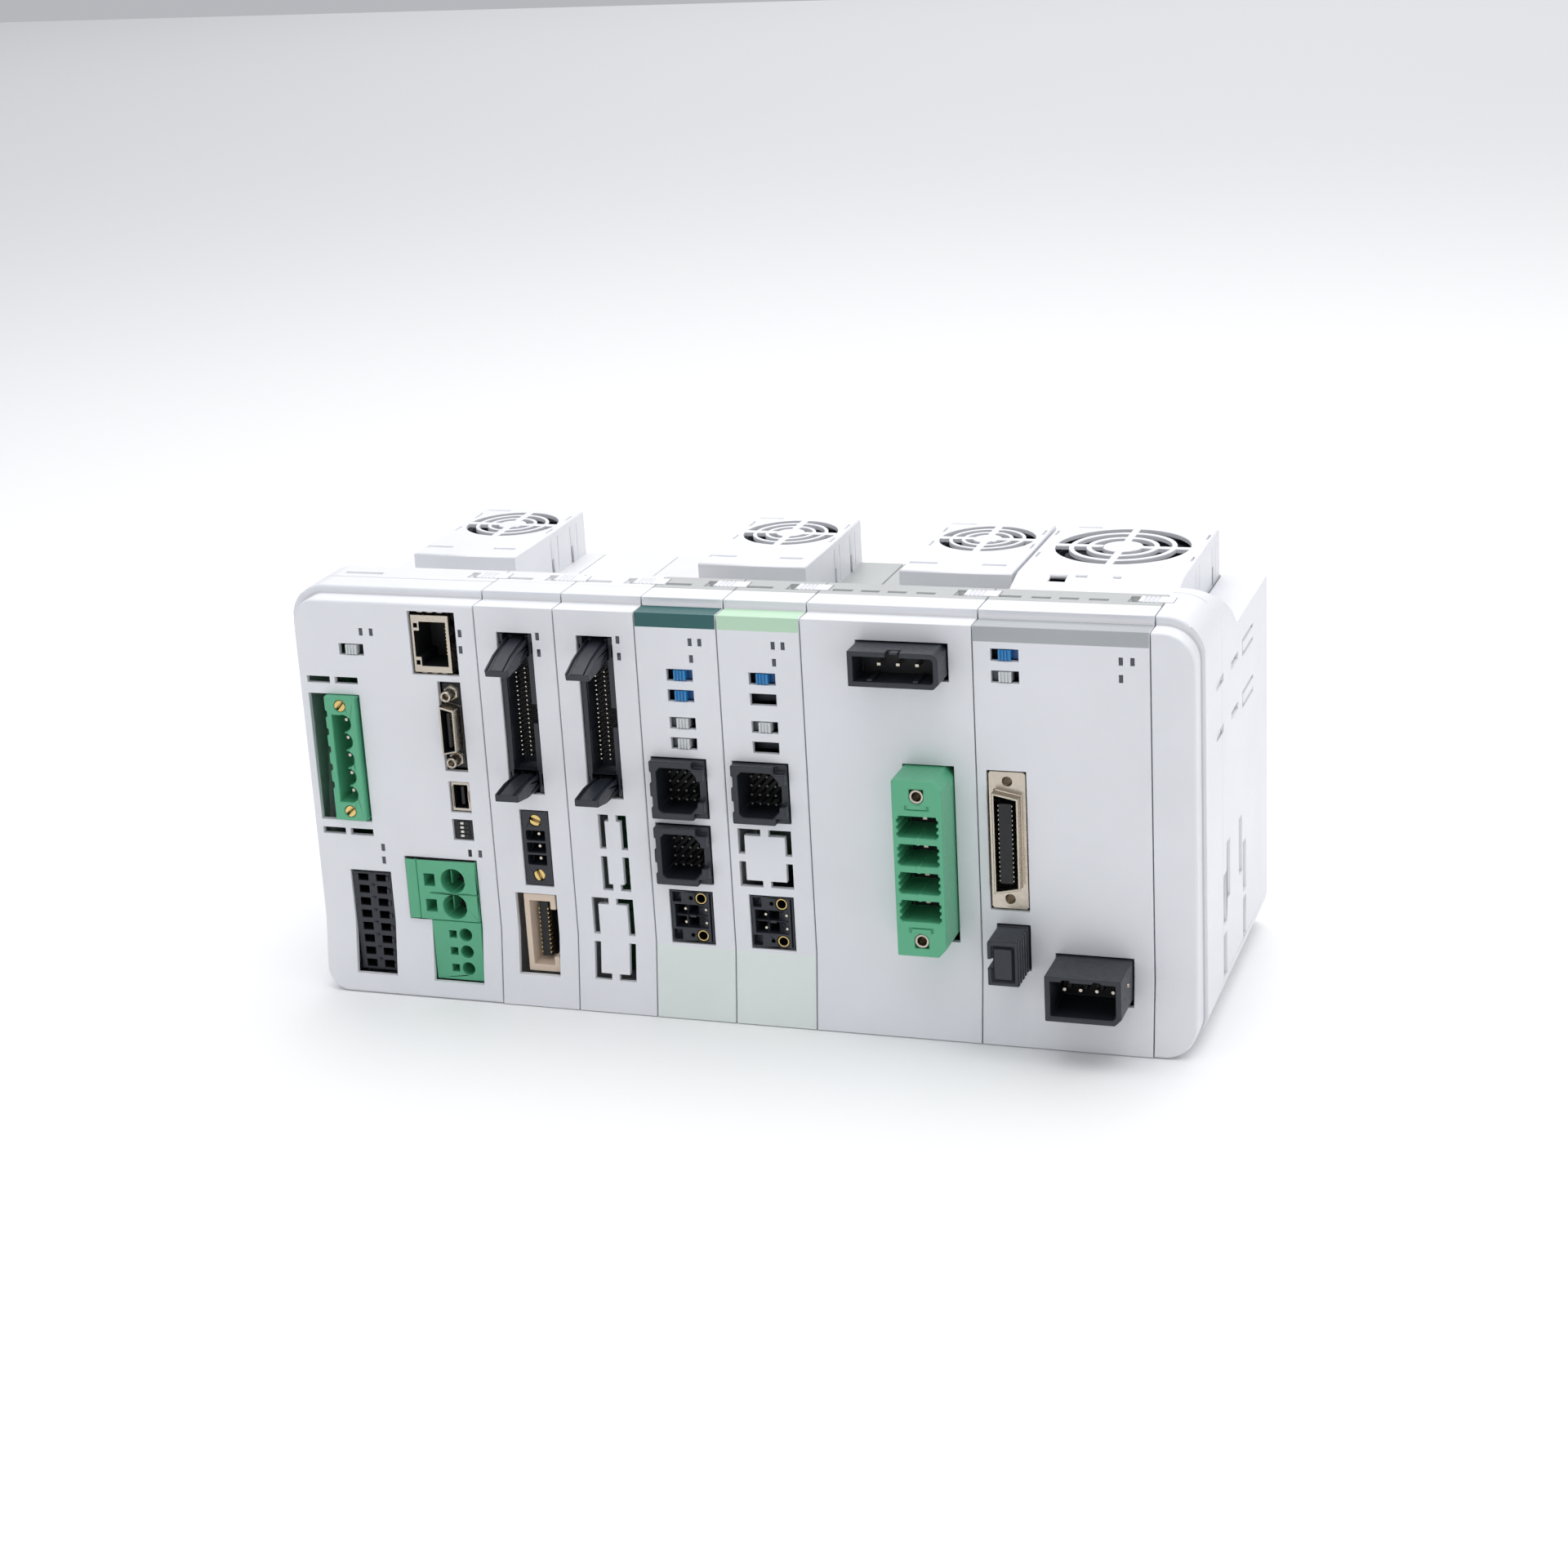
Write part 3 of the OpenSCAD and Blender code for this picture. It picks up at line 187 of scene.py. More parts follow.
def plastic(name, colour, shine=0.4, drift=0.04, grain=2500.0, depth=0.00002, clear=0.0):
    """A material of moulded plastic; shine is its roughness."""
    material = bpy.data.materials.new(name)
    material.use_nodes = True
    tree = material.node_tree
    shader = tree.nodes["Principled BSDF"]
    place = tree.nodes.new("ShaderNodeTexCoord")
    skin = tree.nodes.new("ShaderNodeGroup")
    skin.node_tree = MOULDED
    skin.inputs["Colour"].default_value = colour
    skin.inputs["Drift"].default_value = drift
    skin.inputs["Shine"].default_value = shine
    skin.inputs["Grain"].default_value = grain
    tree.links.new(place.outputs["Object"], skin.inputs["Vector"])
    tree.links.new(skin.outputs["Colour"], shader.inputs["Base Color"])
    tree.links.new(skin.outputs["Roughness"], shader.inputs["Roughness"])
    bump = tree.nodes.new("ShaderNodeBump")
    bump.inputs["Strength"].default_value = 0.35
    bump.inputs["Distance"].default_value = depth
    tree.links.new(skin.outputs["Height"], bump.inputs["Height"])
    tree.links.new(bump.outputs["Normal"], shader.inputs["Normal"])
    if clear:
        shader.inputs["Coat Weight"].default_value = clear
        shader.inputs["Coat Roughness"].default_value = 0.15
    return material


WHITE = plastic("white_cover", linear(231, 232, 236), 0.36)
CASE_WHITE = plastic("white_case", linear(228, 228, 230), 0.45)
CASE_GREY = plastic("grey_case", linear(181, 183, 182), 0.45, 0.06)


def take(node):
    """A merged copy of a CAD node, in millimetres of the row."""
    bm = bmesh.new()
    bm.from_mesh(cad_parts[node].data)
    bmesh.ops.transform(bm, matrix=TO_ROW, verts=bm.verts)
    bmesh.ops.remove_doubles(bm, verts=bm.verts, dist=0.002)
    tidy(bm)
    return bm


def tidy(bm):
    bmesh.ops.dissolve_limit(bm, angle_limit=radians(0.6), verts=bm.verts, edges=bm.edges,
                             delimit={"MATERIAL"})


def block(bm, x0, x1, y0, y1, z0, z1):
    """A plain block to shape further or to carve with."""
    made = bmesh.ops.create_cube(bm, size=1.0)["verts"]
    bmesh.ops.scale(bm, vec=(x1 - x0, y1 - y0, z1 - z0), verts=made)
    bmesh.ops.translate(bm, vec=((x0 + x1) / 2, (y0 + y1) / 2, (z0 + z1) / 2), verts=made)
    return made


def carve(body, tool, mode="DIFFERENCE"):
    """Takes tool out of body, or joins them, and returns the new shape."""
    pair = []
    for bm in (body, tool):
        bmesh.ops.recalc_face_normals(bm, faces=bm.faces)
        mesh = bpy.data.meshes.new("carving")
        bm.to_mesh(mesh)
        bm.free()
        pair.append(bpy.data.objects.new("carving", mesh))
        bpy.context.scene.collection.objects.link(pair[-1])
    knife = pair[0].modifiers.new("knife", "BOOLEAN")
    knife.operation = mode
    knife.solver = "EXACT"
    knife.use_self = True
    knife.object = pair[1]
    bpy.context.view_layer.update()
    shaped = pair[0].evaluated_get(bpy.context.evaluated_depsgraph_get())
    out = bmesh.new()
    out.from_mesh(shaped.to_mesh())
    shaped.to_mesh_clear()
    for ob in pair:
        mesh = ob.data
        bpy.data.objects.remove(ob)
        bpy.data.meshes.remove(mesh)
    bmesh.ops.remove_doubles(out, verts=out.verts, dist=0.0005)
    tidy(out)
    return out


def corner(edge, least=30):
    return len(edge.link_faces) == 2 and edge.calc_face_angle(0) > radians(least)


def ends(edge, test):
    """True where both ends of an edge pass a test on their place."""
    return all(test(v.co) for v in edge.verts)


def piece(name, bm, looks, body="row", stands_for=(), rounding=0.15, segments=2, split=True):
    """Makes the finished piece: its edges rounded by the width that the rule gives each, in millimetres."""
    bmesh.ops.recalc_face_normals(bm, faces=bm.faces)
    if split:
        bmesh.ops.triangulate(bm, faces=[f for f in bm.faces if len(f.verts) > 4], ngon_method="BEAUTY")
    weight = bm.edges.layers.float.new("bevel_weight_edge")
    widths = [(rounding(e) if callable(rounding) else rounding) if corner(e) else 0.0 for e in bm.edges]
    most = max(widths + [0.01])
    for edge, width in zip(bm.edges, widths):
        edge[weight] = width / most
    bmesh.ops.transform(bm, matrix=TO_FRAME, verts=bm.verts)
    mesh = bpy.data.meshes.new(name)
    bm.to_mesh(mesh)
    bm.free()
    for look in looks if isinstance(looks, (list, tuple)) else [looks]:
        mesh.materials.append(look)
    mesh.shade_smooth()
    mesh.set_sharp_from_angle(angle=radians(32))
    ob = bpy.data.objects.new(name, mesh)
    bpy.context.scene.collection.objects.link(ob)
    bevel = ob.modifiers.new("rounded_edges", "BEVEL")
    bevel.limit_method = "WEIGHT"
    bevel.width = most * 0.001
    bevel.segments = segments
    bevel.use_clamp_overlap = False
    bevel.loop_slide = split
    normals = ob.modifiers.new("even_normals", "WEIGHTED_NORMAL")
    normals.keep_sharp = True
    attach(ob, body)
    if stands_for:
        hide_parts(*stands_for)
    return ob


def at_seam(co):
    return any(abs(co.x - s) < 0.2 for s in SEAMS) or co.x < LEFT + 0.1 or co.x > RIGHT - 0.1


def case_edge(e):
    """Rounding of a case edge: the roof, back and seams are rounded, the inside is left sharp."""
    if e.is_convex and (ends(e, at_seam) or ends(e, lambda c: c.z > 101 or c.y > 94.9 or c.z < 0.1)):
        return 0.22
    return 0.0


for node, look, slot in (("master_case", CASE_WHITE, "case_white"), ("io_cases", CASE_WHITE, "case_white"),
                         ("drive_cases", CASE_GREY, "case_grey"), ("power_case", CASE_GREY, "case_grey"),
                         ("servo_case", CASE_GREY, "case_grey")):
    piece(node + "_shell", take(node), look, stands_for=(node,), rounding=case_edge)

# The end case is white, with shallow slots on its side. Two of them run on into
# the front cover, so their places are named here and cut out of both.
SIDE_SLOTS = [(249.35, 251.0, 20.5, 30.5, z - 0.95, z + 0.95) for z in (92.5, 79.0)]


def fresh(*blocks):
    """A new mesh of plain blocks."""
    bm = bmesh.new()
    for b in blocks:
        block(bm, *b)
    return bm


end_case = carve(take("end_case"), fresh(*SIDE_SLOTS))
piece("end_case_shell", end_case, WHITE, stands_for=("end_case",), rounding=case_edge)

# Boards
# Each unit has one green board behind its face, which carries the connectors.
BOARD = plastic("board_mask", linear(30, 92, 52), 0.3, 0.1, 900.0)
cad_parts["circuit_boards"].data.materials.clear()
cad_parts["circuit_boards"].data.materials.append(BOARD)

# Front covers
# White moulded fronts snapped on the cases, with a ledge along the top edge,
# a leaning foot, and cut-outs for what the boards carry. The two drive units
# and the servo unit have a coloured band printed across the top.
STRIPE_FOOT = 108.8


def band(name, colour):
    return plastic(name, colour, 0.34, 0.05)


TEAL = band("teal_band", linear(34, 92, 92))
MINT = band("mint_band", linear(190, 222, 194))
GREY_BAND = band("grey_band", linear(172, 176, 178))
MINT_FOOT = band("mint_foot", linear(228, 236, 231))


def cover_edge(e):
    """Rounding of a cover edge: soft along the top and foot, slight at the seams and round the cut-outs."""
    if not e.is_convex:
        return 0.0
    if ends(e, lambda c: 17.5 < c.y < 24.0):
        return 0.1
    if ends(e, at_seam):
        return 0.25
    if ends(e, lambda c: c.z > 112.5 or c.z < 0.05):
        return 0.8
    if ends(e, lambda c: c.y < 6.2 and (c.x < 11 or c.x > 238) and (c.z > 100.5 or c.z < 11.5)):
        return 0.8
    if ends(e, lambda c: c.y < 6.2 and (c.x < 3.6 or c.x > 248.4)):
        return 0.8
    if ends(e, lambda c: c.y < 0.01):
        return 0.16
    return 0.0


def striped(bm, cuts):
    """Cuts the cover across at each height and gives the faces between them their own material."""
    for height, _, _ in cuts:
        geom = bm.verts[:] + bm.edges[:] + bm.faces[:]
        bmesh.ops.bisect_plane(bm, geom=geom, dist=0.001, plane_co=(0, 0, height), plane_no=(0, 0, 1))
    for face in bm.faces:
        middle = face.calc_center_median()
        for height, test, index in cuts:
            if test(middle):
                face.material_index = index
    return bm


def on_front(low, high, x0, x1):
    return lambda c: low < c.z < high and x0 < c.x < x1 and c.y < 6.45


drive_fronts = striped(take("drive_covers"), [
    (STRIPE_FOOT, on_front(STRIPE_FOOT, 112.65, 101, 124.4), 1),
    (STRIPE_FOOT, on_front(STRIPE_FOOT, 112.65, 124.4, 148), 2),
    (20.0, on_front(0.3, 20.0, 101, 148), 3)])
servo_front = striped(take("servo_cover"), [(108.6, on_front(108.6, 112.65, 192, 238), 1)])
for name, bm, looks, node in (
        ("master_front", take("master_cover"), WHITE, "master_cover"),
        ("io_fronts", take("io_covers"), WHITE, "io_covers"),
        ("drive_fronts", drive_fronts, [WHITE, TEAL, MINT, MINT_FOOT], "drive_covers"),
        ("power_front", take("power_cover"), WHITE, "power_cover"),
        ("servo_front", servo_front, [WHITE, GREY_BAND], "servo_cover"),
        ("end_front", carve(take("end_cover"), fresh(*SIDE_SLOTS)), WHITE, "end_cover")):
    bmesh.ops.recalc_face_normals(bm, faces=bm.faces)
    bmesh.ops.triangulate(bm, faces=[f for f in bm.faces if len(f.verts) > 4 and (
        abs(f.normal.y) > 0.99 and f.calc_center_median().y > 6 or f.normal.z > 0.99)])
    piece(name, bm, looks, stands_for=(node,), rounding=cover_edge, segments=3,
          split=node == "drive_covers")

# Sockets of the master unit
# Ethernet jack in a nickel shell with spring fingers, a small service port and
# the pendant port on its flange. All are soldered to the board and stand in
# cut-outs of the cover.
NICKEL = plastic("nickel", linear(200, 190, 176), 0.26, 0.16, 900.0)
NICKEL.node_tree.nodes["Principled BSDF"].inputs["Metallic"].default_value = 1.0
BRASS = plastic("brass", linear(226, 196, 128), 0.27, 0.12, 900.0)
BRASS.node_tree.nodes["Principled BSDF"].inputs["Metallic"].default_value = 1.0
LINER = plastic("black_liner", linear(20, 21, 24), 0.5, 0.1, 1800.0)


def rod(bm, x, z, front, y0, y1, back=None, steps=32):
    """A round pin, bore or funnel that runs from depth y0 to depth y1."""
    place = Matrix.Translation((x, (y0 + y1) / 2, z)) @ Matrix.Rotation(radians(90), 4, "X")
    return bmesh.ops.create_cone(bm, cap_ends=True, cap_tris=False, segments=steps, depth=y1 - y0,
                                 radius1=front if back is None else back, radius2=front,
                                 matrix=place)["verts"]


def prism(bm, outline, y0, y1):
    """A block with an outline of (x, z) points that runs from depth y0 to depth y1."""
    face = bm.faces.new([bm.verts.new((x, y0, z)) for x, z in outline])
    out = bmesh.ops.extrude_face_region(bm, geom=[face])["geom"]
    verts = [v for v in out if isinstance(v, bmesh.types.BMVert)]
    bmesh.ops.translate(bm, vec=(0, y1 - y0, 0), verts=verts)
    return verts


def paint(bm, index, test):
    """Gives the faces whose middle passes the test their own material."""
    for face in bm.faces:
        if test(face.calc_center_median()):
            face.material_index = index


def within(x0, x1, z0, z1, y0=0.5):
    return lambda c: x0 < c.x < x1 and z0 < c.z < z1 and c.y > y0


tool = bmesh.new()
prism(tool, [(40.3, 95.2), (48.0, 95.2), (48.0, 107.4), (40.3, 107.4), (40.3, 104.9), (38.7, 104.9),
             (38.7, 97.7), (40.3, 97.7)], -1, 11)
for z in (96.1, 106.4):
    block(tool, 38.7, 39.8, -1, 3, z - 0.6, z + 0.6)
jack = carve(fresh((38.0, 48.9, 0.5, 14, 93.4, 109.3)), tool)
paint(jack, 1, within(38.3, 48.2, 94.9, 107.7, 1.0))
for x in (40.5, 43.4, 46.3):
    for z, lift in ((109.3, 0.45), (93.0, -0.1)):
        for v in block(jack, x - 0.8, x + 0.8, 1.2, 9, z, z + 0.35):
            v.co.z += lift * (1 if v.co.y < 5 else 0)
piece("ethernet_shell", jack, [NICKEL, LINER], stands_for=("ethernet_jack",), rounding=0.12)
contacts = bmesh.new()
for i in range(8):
    z = 101.3 + (i - 3.5) * 1.02
    for v in block(contacts, 46.4, 46.75, 3.5, 10.5, z - 0.2, z + 0.2):
        v.co.x += 0.9 if v.co.y > 7 else 0
piece("ethernet_contacts", contacts, BRASS, rounding=0.05)
piece("ethernet_body", fresh((38.1, 50.4, 12, 20, 93.4, 109.8)), LINER, rounding=0.3)

# The pendant port's shell is narrower on one side, and its two studs take the
# jackscrews of the plug.
STUD_X, PORT_Z, STUD_OUT = 47.7, 78.5, 9.3
port = fresh((44.95, 50.45, 1.4, 4, 66.5, 90.5))
prism(port, [(45.6, 71.5), (49.8, 72.5), (49.8, 84.1), (45.6, 85.1)], -3.4, 1.6)
for s in (-1, 1):
    rod(port, STUD_X, PORT_Z + s * STUD_OUT, 2.2, 0.6, 1.5, steps=6)
    rod(port, STUD_X, PORT_Z + s * STUD_OUT, 1.5, -3.0, 1.4)
tool = bmesh.new()
prism(tool, [(46.15, 72.2), (49.25, 72.95), (49.25, 83.65), (46.15, 84.4)], -4, 7)
for s in (-1, 1):
    rod(tool, STUD_X, PORT_Z + s * STUD_OUT, 0.85, -4, -0.6)
port = carve(port, tool)
paint(port, 1, within(46, 49.4, 72, 84.6, -2.9))
piece("pendant_port", port, [NICKEL, LINER], stands_for=("teach_port",), rounding=0.25)
piece("pendant_insert", fresh((47.2, 48.2, -2.2, 8, 73.4, 83.2), (45.2, 50.2, 4, 20, 67, 90)), LINER,
      rounding=0.15)
contacts = bmesh.new()
for i in range(13):
    for x in (47.05, 48.05):
        block(contacts, x, x + 0.3, -1.8, 2, 73.9 + i * 0.72, 74.2 + i * 0.72)
piece("pendant_contacts", contacts, BRASS, rounding=0.04)

# The service port has a folded shell round a stepped tongue.
tool = fresh((45.9, 49.9, -1, 8, 55.2, 61.8))
port = carve(fresh((45.2, 50.6, 0.8, 12, 54.4, 62.6)), tool)
block(port, 45.5, 45.8, 0.4, 3, 55.6, 61.4)
block(port, 50.0, 50.3, 0.4, 3, 57.0, 60.0)
paint(port, 1, within(45.7, 50.1, 55, 62, 1.4))
piece("service_port", port, [NICKEL, LINER], stands_for=("usb_port",), rounding=0.12)
piece("service_tongue", fresh((47.5, 48.5, 1.8, 9, 55.9, 61.1), (45.6, 50.2, 9, 20, 54.8, 62.2)), LINER,
      rounding=0.1)
contacts = fresh(*[(47.3, 47.55, 2.4, 7, z, z + 0.6) for z in (56.4, 57.8, 59.0, 60.3)])
piece("service_contacts", contacts, BRASS, rounding=0.04)

# Headers of the master unit
# Green nylon fieldbus header, black spring header with two columns of entries,
# and the green power terminal in two blocks, each entry beside the square hole
# of its release lever. All flange screws and nuts of the row are made here.
GREEN = plastic("green_nylon", linear(88, 176, 134), 0.4, 0.08, 1800.0, clear=0.15)
BLACK_SOFT = plastic("black_header", linear(38, 42, 50), 0.38, 0.14, 1800.0)

BUS_X, BUS_Z, BUS_PITCH, BUS_SCREW_OUT, BUS_FRONT = 15.6, 68.3, 5.08, 15.1, -2
bus = fresh((11.1, 20.1, BUS_FRONT, 20, 50.6, 86.0))
tool = fresh((12.9, 16.2, -3, 8, 55.8, 80.8))
for i in range(5):
    z = BUS_Z + (i - 2) * BUS_PITCH
    rod(tool, 16.0, z, 2.45, -3, 8)
    block(tool, 10.8, 11.6, -3, 21, z + 1.7, z + 3.4)
for s in (-1, 1):
    rod(tool, BUS_X, BUS_Z + s * BUS_SCREW_OUT, 1.72, -3, 7)
bus = carve(bus, tool)
for z in (50.6, 85.3):
    block(bus, 19.9, 20.4, -1.2, 10, z, z + 0.7)


def header_edge(e):
    """Rounding of a header edge: its front corners most, its openings slightly, nothing deep inside."""
    front = min(v.co.y for v in e.verts)
    return 0.3 if front < -0.9 else 0.18 if front < 1.5 else 0.0


piece("fieldbus_block", bus, GREEN, stands_for=("fieldbus_header",), rounding=header_edge)


def add_to(bm, part):
    """Adds a finished part to a mesh that holds several like it."""
    mesh = bpy.data.meshes.new("part")
    part.to_mesh(mesh)
    part.free()
    bm.from_mesh(mesh)
    bpy.data.meshes.remove(mesh)


SCREW_R = 1.62


def screw_head(bm, x, z, front, turn):
    """A flange screw sunk flush with its header, its slot turned as it was left."""
    head = bmesh.new()
    rod(head, x, z, SCREW_R, front + 0.15, front + 8)
    cut = bmesh.new()
    made = block(cut, -3, 3, -1, 0.75, -0.32, 0.32)
    bmesh.ops.rotate(cut, cent=(0, 0, 0), matrix=Matrix.Rotation(radians(turn), 3, "Y"), verts=made)
    bmesh.ops.translate(cut, vec=(x, front, z), verts=made)
    add_to(bm, carve(head, cut))


def ring_nut(bm, x, z):
    """A threaded nut of a stop header: a thin bright ring round a dark hole."""
    nut = bmesh.new()
    bore = bmesh.new()
    rod(nut, x, z, SCREW_R, 0.55, 8)
    rod(bore, x, z, 1.15, 0, 6)
    nut = carve(nut, bore)
    paint(nut, 1, lambda c: c.y > 0.6)
    add_to(bm, nut)


STOP_X, STOP_NUT_ROWS, STOP_NUT_IN = (112.6, 135.2), (33.75, 23.15), 2.6
BRAKE_SCREW_X, BRAKE_SCREW_FRONT = 69.15, 0.4
screws = bmesh.new()
for x, z, front, turn in (
        (BUS_X, BUS_Z + BUS_SCREW_OUT, BUS_FRONT, -48),
        (BUS_X, BUS_Z - BUS_SCREW_OUT, BUS_FRONT, -42),
        (BRAKE_SCREW_X, 53.05, BRAKE_SCREW_FRONT, 20),
        (BRAKE_SCREW_X, 37.35, BRAKE_SCREW_FRONT, 65)):
    screw_head(screws, x, z, front, turn)
for x in STOP_X:
    for z in STOP_NUT_ROWS:
        ring_nut(screws, x + STOP_NUT_IN, z)
piece("screw_heads", screws, [BRASS, LINER], stands_for=("flange_screws",), rounding=0.16)

ENTRY_ROWS, ENTRY_PITCH, ENTRY_MIDDLE = 8, 3.675, 20.4
spring = take("system_io_header")
paint(spring, 1, lambda c: c.y > 3)
for i in range(ENTRY_ROWS):
    z = ENTRY_MIDDLE + (i - (ENTRY_ROWS - 1) / 2) * ENTRY_PITCH
    for x in (14.2, 19.6):
        block(spring, x, x + 0.35, 1.2, 6, z - 1.0, z + 1.0)
    block(spring, 18.25, 19.25, 0.1, 0.9, z + 1.0, z + 1.55)
    block(spring, 23.0, 23.9, 0.2, 0.9, z - 0.9, z + 0.6)
block(spring, 13.1, 24.4, 0.3, 1.0, 34.2, 34.9)
piece("spring_header", spring, [BLACK_SOFT, LINER], stands_for=("system_io_header",),
      rounding=header_edge)

SUPPLY_X, SUPPLY_ROWS = 43.6, (26.6, 34.1)
SIGNAL_X, SIGNAL_ROWS = 46.0, (8.5, 13.5, 18.5)
terminal = take("power_terminal")
tool = bmesh.new()
for z in SUPPLY_ROWS:
    rod(tool, SUPPLY_X, z, 3.75, -1, 0.6, back=3.3)
for z in SIGNAL_ROWS:
    rod(tool, SIGNAL_X, z, 2.0, -1, 0.4, back=1.7)
block(tool, 36.4, 50.8, -1, 0.0, 22.28, 22.52)
block(tool, 33.0, 33.25, -1, -0.3, 22.6, 40.0)
block(tool, 36.5, 50.7, -1, -0.35, 30.25, 30.5)
terminal = carve(terminal, tool)
paint(terminal, 1, lambda c: c.y > 6.9)
for z in SUPPLY_ROWS:
    for side in (-1, 1):
        cage = SUPPLY_X + side * 1.9
        block(terminal, cage - 0.2, cage + 0.2, 3, 7.8, z - 1.9, z + 1.9)
piece("power_terminal_blocks", terminal, [GREEN, LINER], stands_for=("power_terminal",),
      rounding=header_edge)

# Switches, lights and board parts
# The lights are smoky pipes flush with the cover. Behind each slot a switch
# body carries the sliding plate, and a bank of four tiny selectors lies under
# the service port.
PIPE = plastic("smoked_pipe", linear(52, 58, 68), 0.12, 0.05, clear=0.6)
CREAM = plastic("cream_slider", linear(222, 222, 214), 0.35, 0.05)
CAN = plastic("blue_can_sleeve", linear(38, 52, 96), 0.25, 0.08, clear=0.3)
SELECTOR_ROWS = (50.9, 49.7, 48.5, 47.3)
parts = take("board_components")
paint(parts, 1, lambda c: c.y < 20.5)
paint(parts, 0, lambda c: c.y < 20.5 and (45 < c.x < 51 and 46 < c.z < 52.1))
for x0, x1, z0, z1 in ((108, 119, 75, 98), (130.5, 141.5, 75, 98), (195.5, 205, 97, 107), (15, 25, 97, 101)):
    paint(parts, 0, lambda c: x0 < c.x < x1 and z0 < c.z < z1 and 4 < c.y < 20.5)
paint(parts, 2, lambda c: c.y > 31.5)
for z in SELECTOR_ROWS:
    block(parts, 46.2, 49.6, 0.55, 0.85, z - 0.42, z + 0.42)
paint(parts, 3, lambda c: c.y < 0.9 and 46 < c.x < 49.7)
piece("board_parts", parts, [BLACK_SOFT, PIPE, CAN, LINER], stands_for=("board_components",),
      rounding=0.08)
sliders = fresh(*[(47.1 - 0.1 * (i % 2), 48.0, 0.35, 1.2, z - 0.32, z + 0.32)
                  for i, z in enumerate(SELECTOR_ROWS)])
piece("selector_sliders", sliders, CREAM, rounding=0.06)
BLUE = plastic("blue_knob", linear(30, 128, 190), 0.32, 0.05, clear=0.3)
LIGHT = plastic("light_knob", linear(212, 216, 216), 0.34, 0.05)
# The knob plates are darker copies of their ridges: painted shade, where the plates lie deep in the slots.
JOG_PLATE_SHADE = plastic("jog_plate_painted_shade", linear(22, 88, 150), 0.32, 0.05)
RELEASE_PLATE_SHADE = plastic("release_plate_painted_shade", linear(84, 90, 98), 0.35, 0.08)


def knob(node, x, z, ridge, plate, left, right):
    """A ribbed ridge on a wider plate that slides behind the slot of the cover; the plate is coloured darker
    than the ridge as painted shade in the slot.
    """
    bm = fresh((x - 1.6, x + 1.6, -0.3, 2.4, z - 1.35, z + 1.35))
    cut = fresh(*[(x + at - 0.22, x + at + 0.22, -1, 0.15, z - 2, z + 2) for at in (-0.85, 0.0, 0.85)])
    bm = carve(bm, cut)
    block(bm, x - left, x + right, 1.95, 3.4, z - 1.5, z + 1.5)
    block(bm, x - 1.2, x + 1.2, 3.3, 4.0, z - 1.0, z + 1.0)
    # The plate faces get the darker colour: painted shade in the slot.
    paint(bm, 1, lambda c: c.y > 1.9)
    piece(node + "_cap", bm, [ridge, plate], body=node + "_body", stands_for=(node,), rounding=0.12)


knob("mode_knob", 19.9, 99.0, LIGHT, LINER, 2.2, 2.2)
for key, x, z in (("a", 113.6, 96.0), ("b", 113.6, 90.4), ("c", 136.2, 96.0)):
    knob("jog_knob_" + key, x, z, BLUE, JOG_PLATE_SHADE, 1.6, 5.0)
for key, x, z in (("a", 113.6, 82.9), ("b", 113.6, 77.3), ("c", 136.2, 82.9)):
    knob("release_knob_" + key, x, z, LIGHT, RELEASE_PLATE_SHADE, 5.0, 1.8)
knob("jog_knob_d", 200.5, 105.2, BLUE, JOG_PLATE_SHADE, 1.6, 5.0)
knob("release_knob_d", 200.5, 99.5, LIGHT, RELEASE_PLATE_SHADE, 5.0, 1.8)

# Headers of the narrow units
# Forty-pin box headers with two ejector levers, flanged three-pole headers,
# the beige extension header and the framed motor sockets, black nylon but for
# the beige one.
BEIGE = plastic("beige_nylon", linear(226, 206, 186), 0.42, 0.07)
PIN = plastic("tinned_pin", linear(214, 206, 190), 0.3, 0.1, 900.0)
PIN.node_tree.nodes["Principled BSDF"].inputs["Metallic"].default_value = 1.0
BOX_X, BOX_Z, BOX_PITCH = (67.8, 90.4), 83.2, 1.27
headers = take("io_headers")
tool = bmesh.new()
for x in BOX_X:
    for z in (64.9, 101.5):
        block(tool, x - 4.8, x - 4.3, -1, 6, z - 1.6, z + 1.6)
        block(tool, x + 4.3, x + 4.8, -1, 6, z - 1.6, z + 1.6)
    block(tool, x + 3.2, x + 5, -1, 4, 80.6, 85.8)
headers = carve(headers, tool)
for x in BOX_X:
    for side in (-1, 1):
        rib = x + side * 3.25
        block(headers, rib - 0.12, rib + 0.12, 1.2, 7.8, 69.5, 79.5)
        block(headers, rib - 0.12, rib + 0.12, 1.2, 7.8, 87.0, 97.0)
piece("box_headers", headers, BLACK_SOFT, stands_for=("io_headers",), rounding=header_edge)

PIN_FOOT = 8.2
SOCKETS = ((111.7, 46.5), (111.7, 65.0), (134.3, 65.0))
MAINS_X, MAINS_Z, MAINS_PITCH = 179.6, 51, 7.62
MOTOR_X, MOTOR_Z, MOTOR_PITCH = 221.9, 19.3, 4.2
pins = bmesh.new()
for box_x in BOX_X:
    for side in (-1, 1):
        for i in range(20):
            x = box_x + side * BOX_PITCH
            z = BOX_Z + (i - 9.5) * BOX_PITCH
            block(pins, x - 0.2, x + 0.2, 2.2, PIN_FOOT, z - 0.2, z + 0.2)
for i in range(5):
    rod(pins, 15.4, BUS_Z + (i - 2) * BUS_PITCH, 0.5, 1.6, PIN_FOOT, steps=12)
for i in (-1, 0, 1):
    rod(pins, 69.3, 45.2 + i * 3.5, 0.45, 2.0, PIN_FOOT, steps=12)
for x in STOP_X:
    for dx in (-2.2, 3.6):
        for z in (26.55, 30.35):
            rod(pins, x + dx, z, 0.4, 1.2, PIN_FOOT, steps=12)
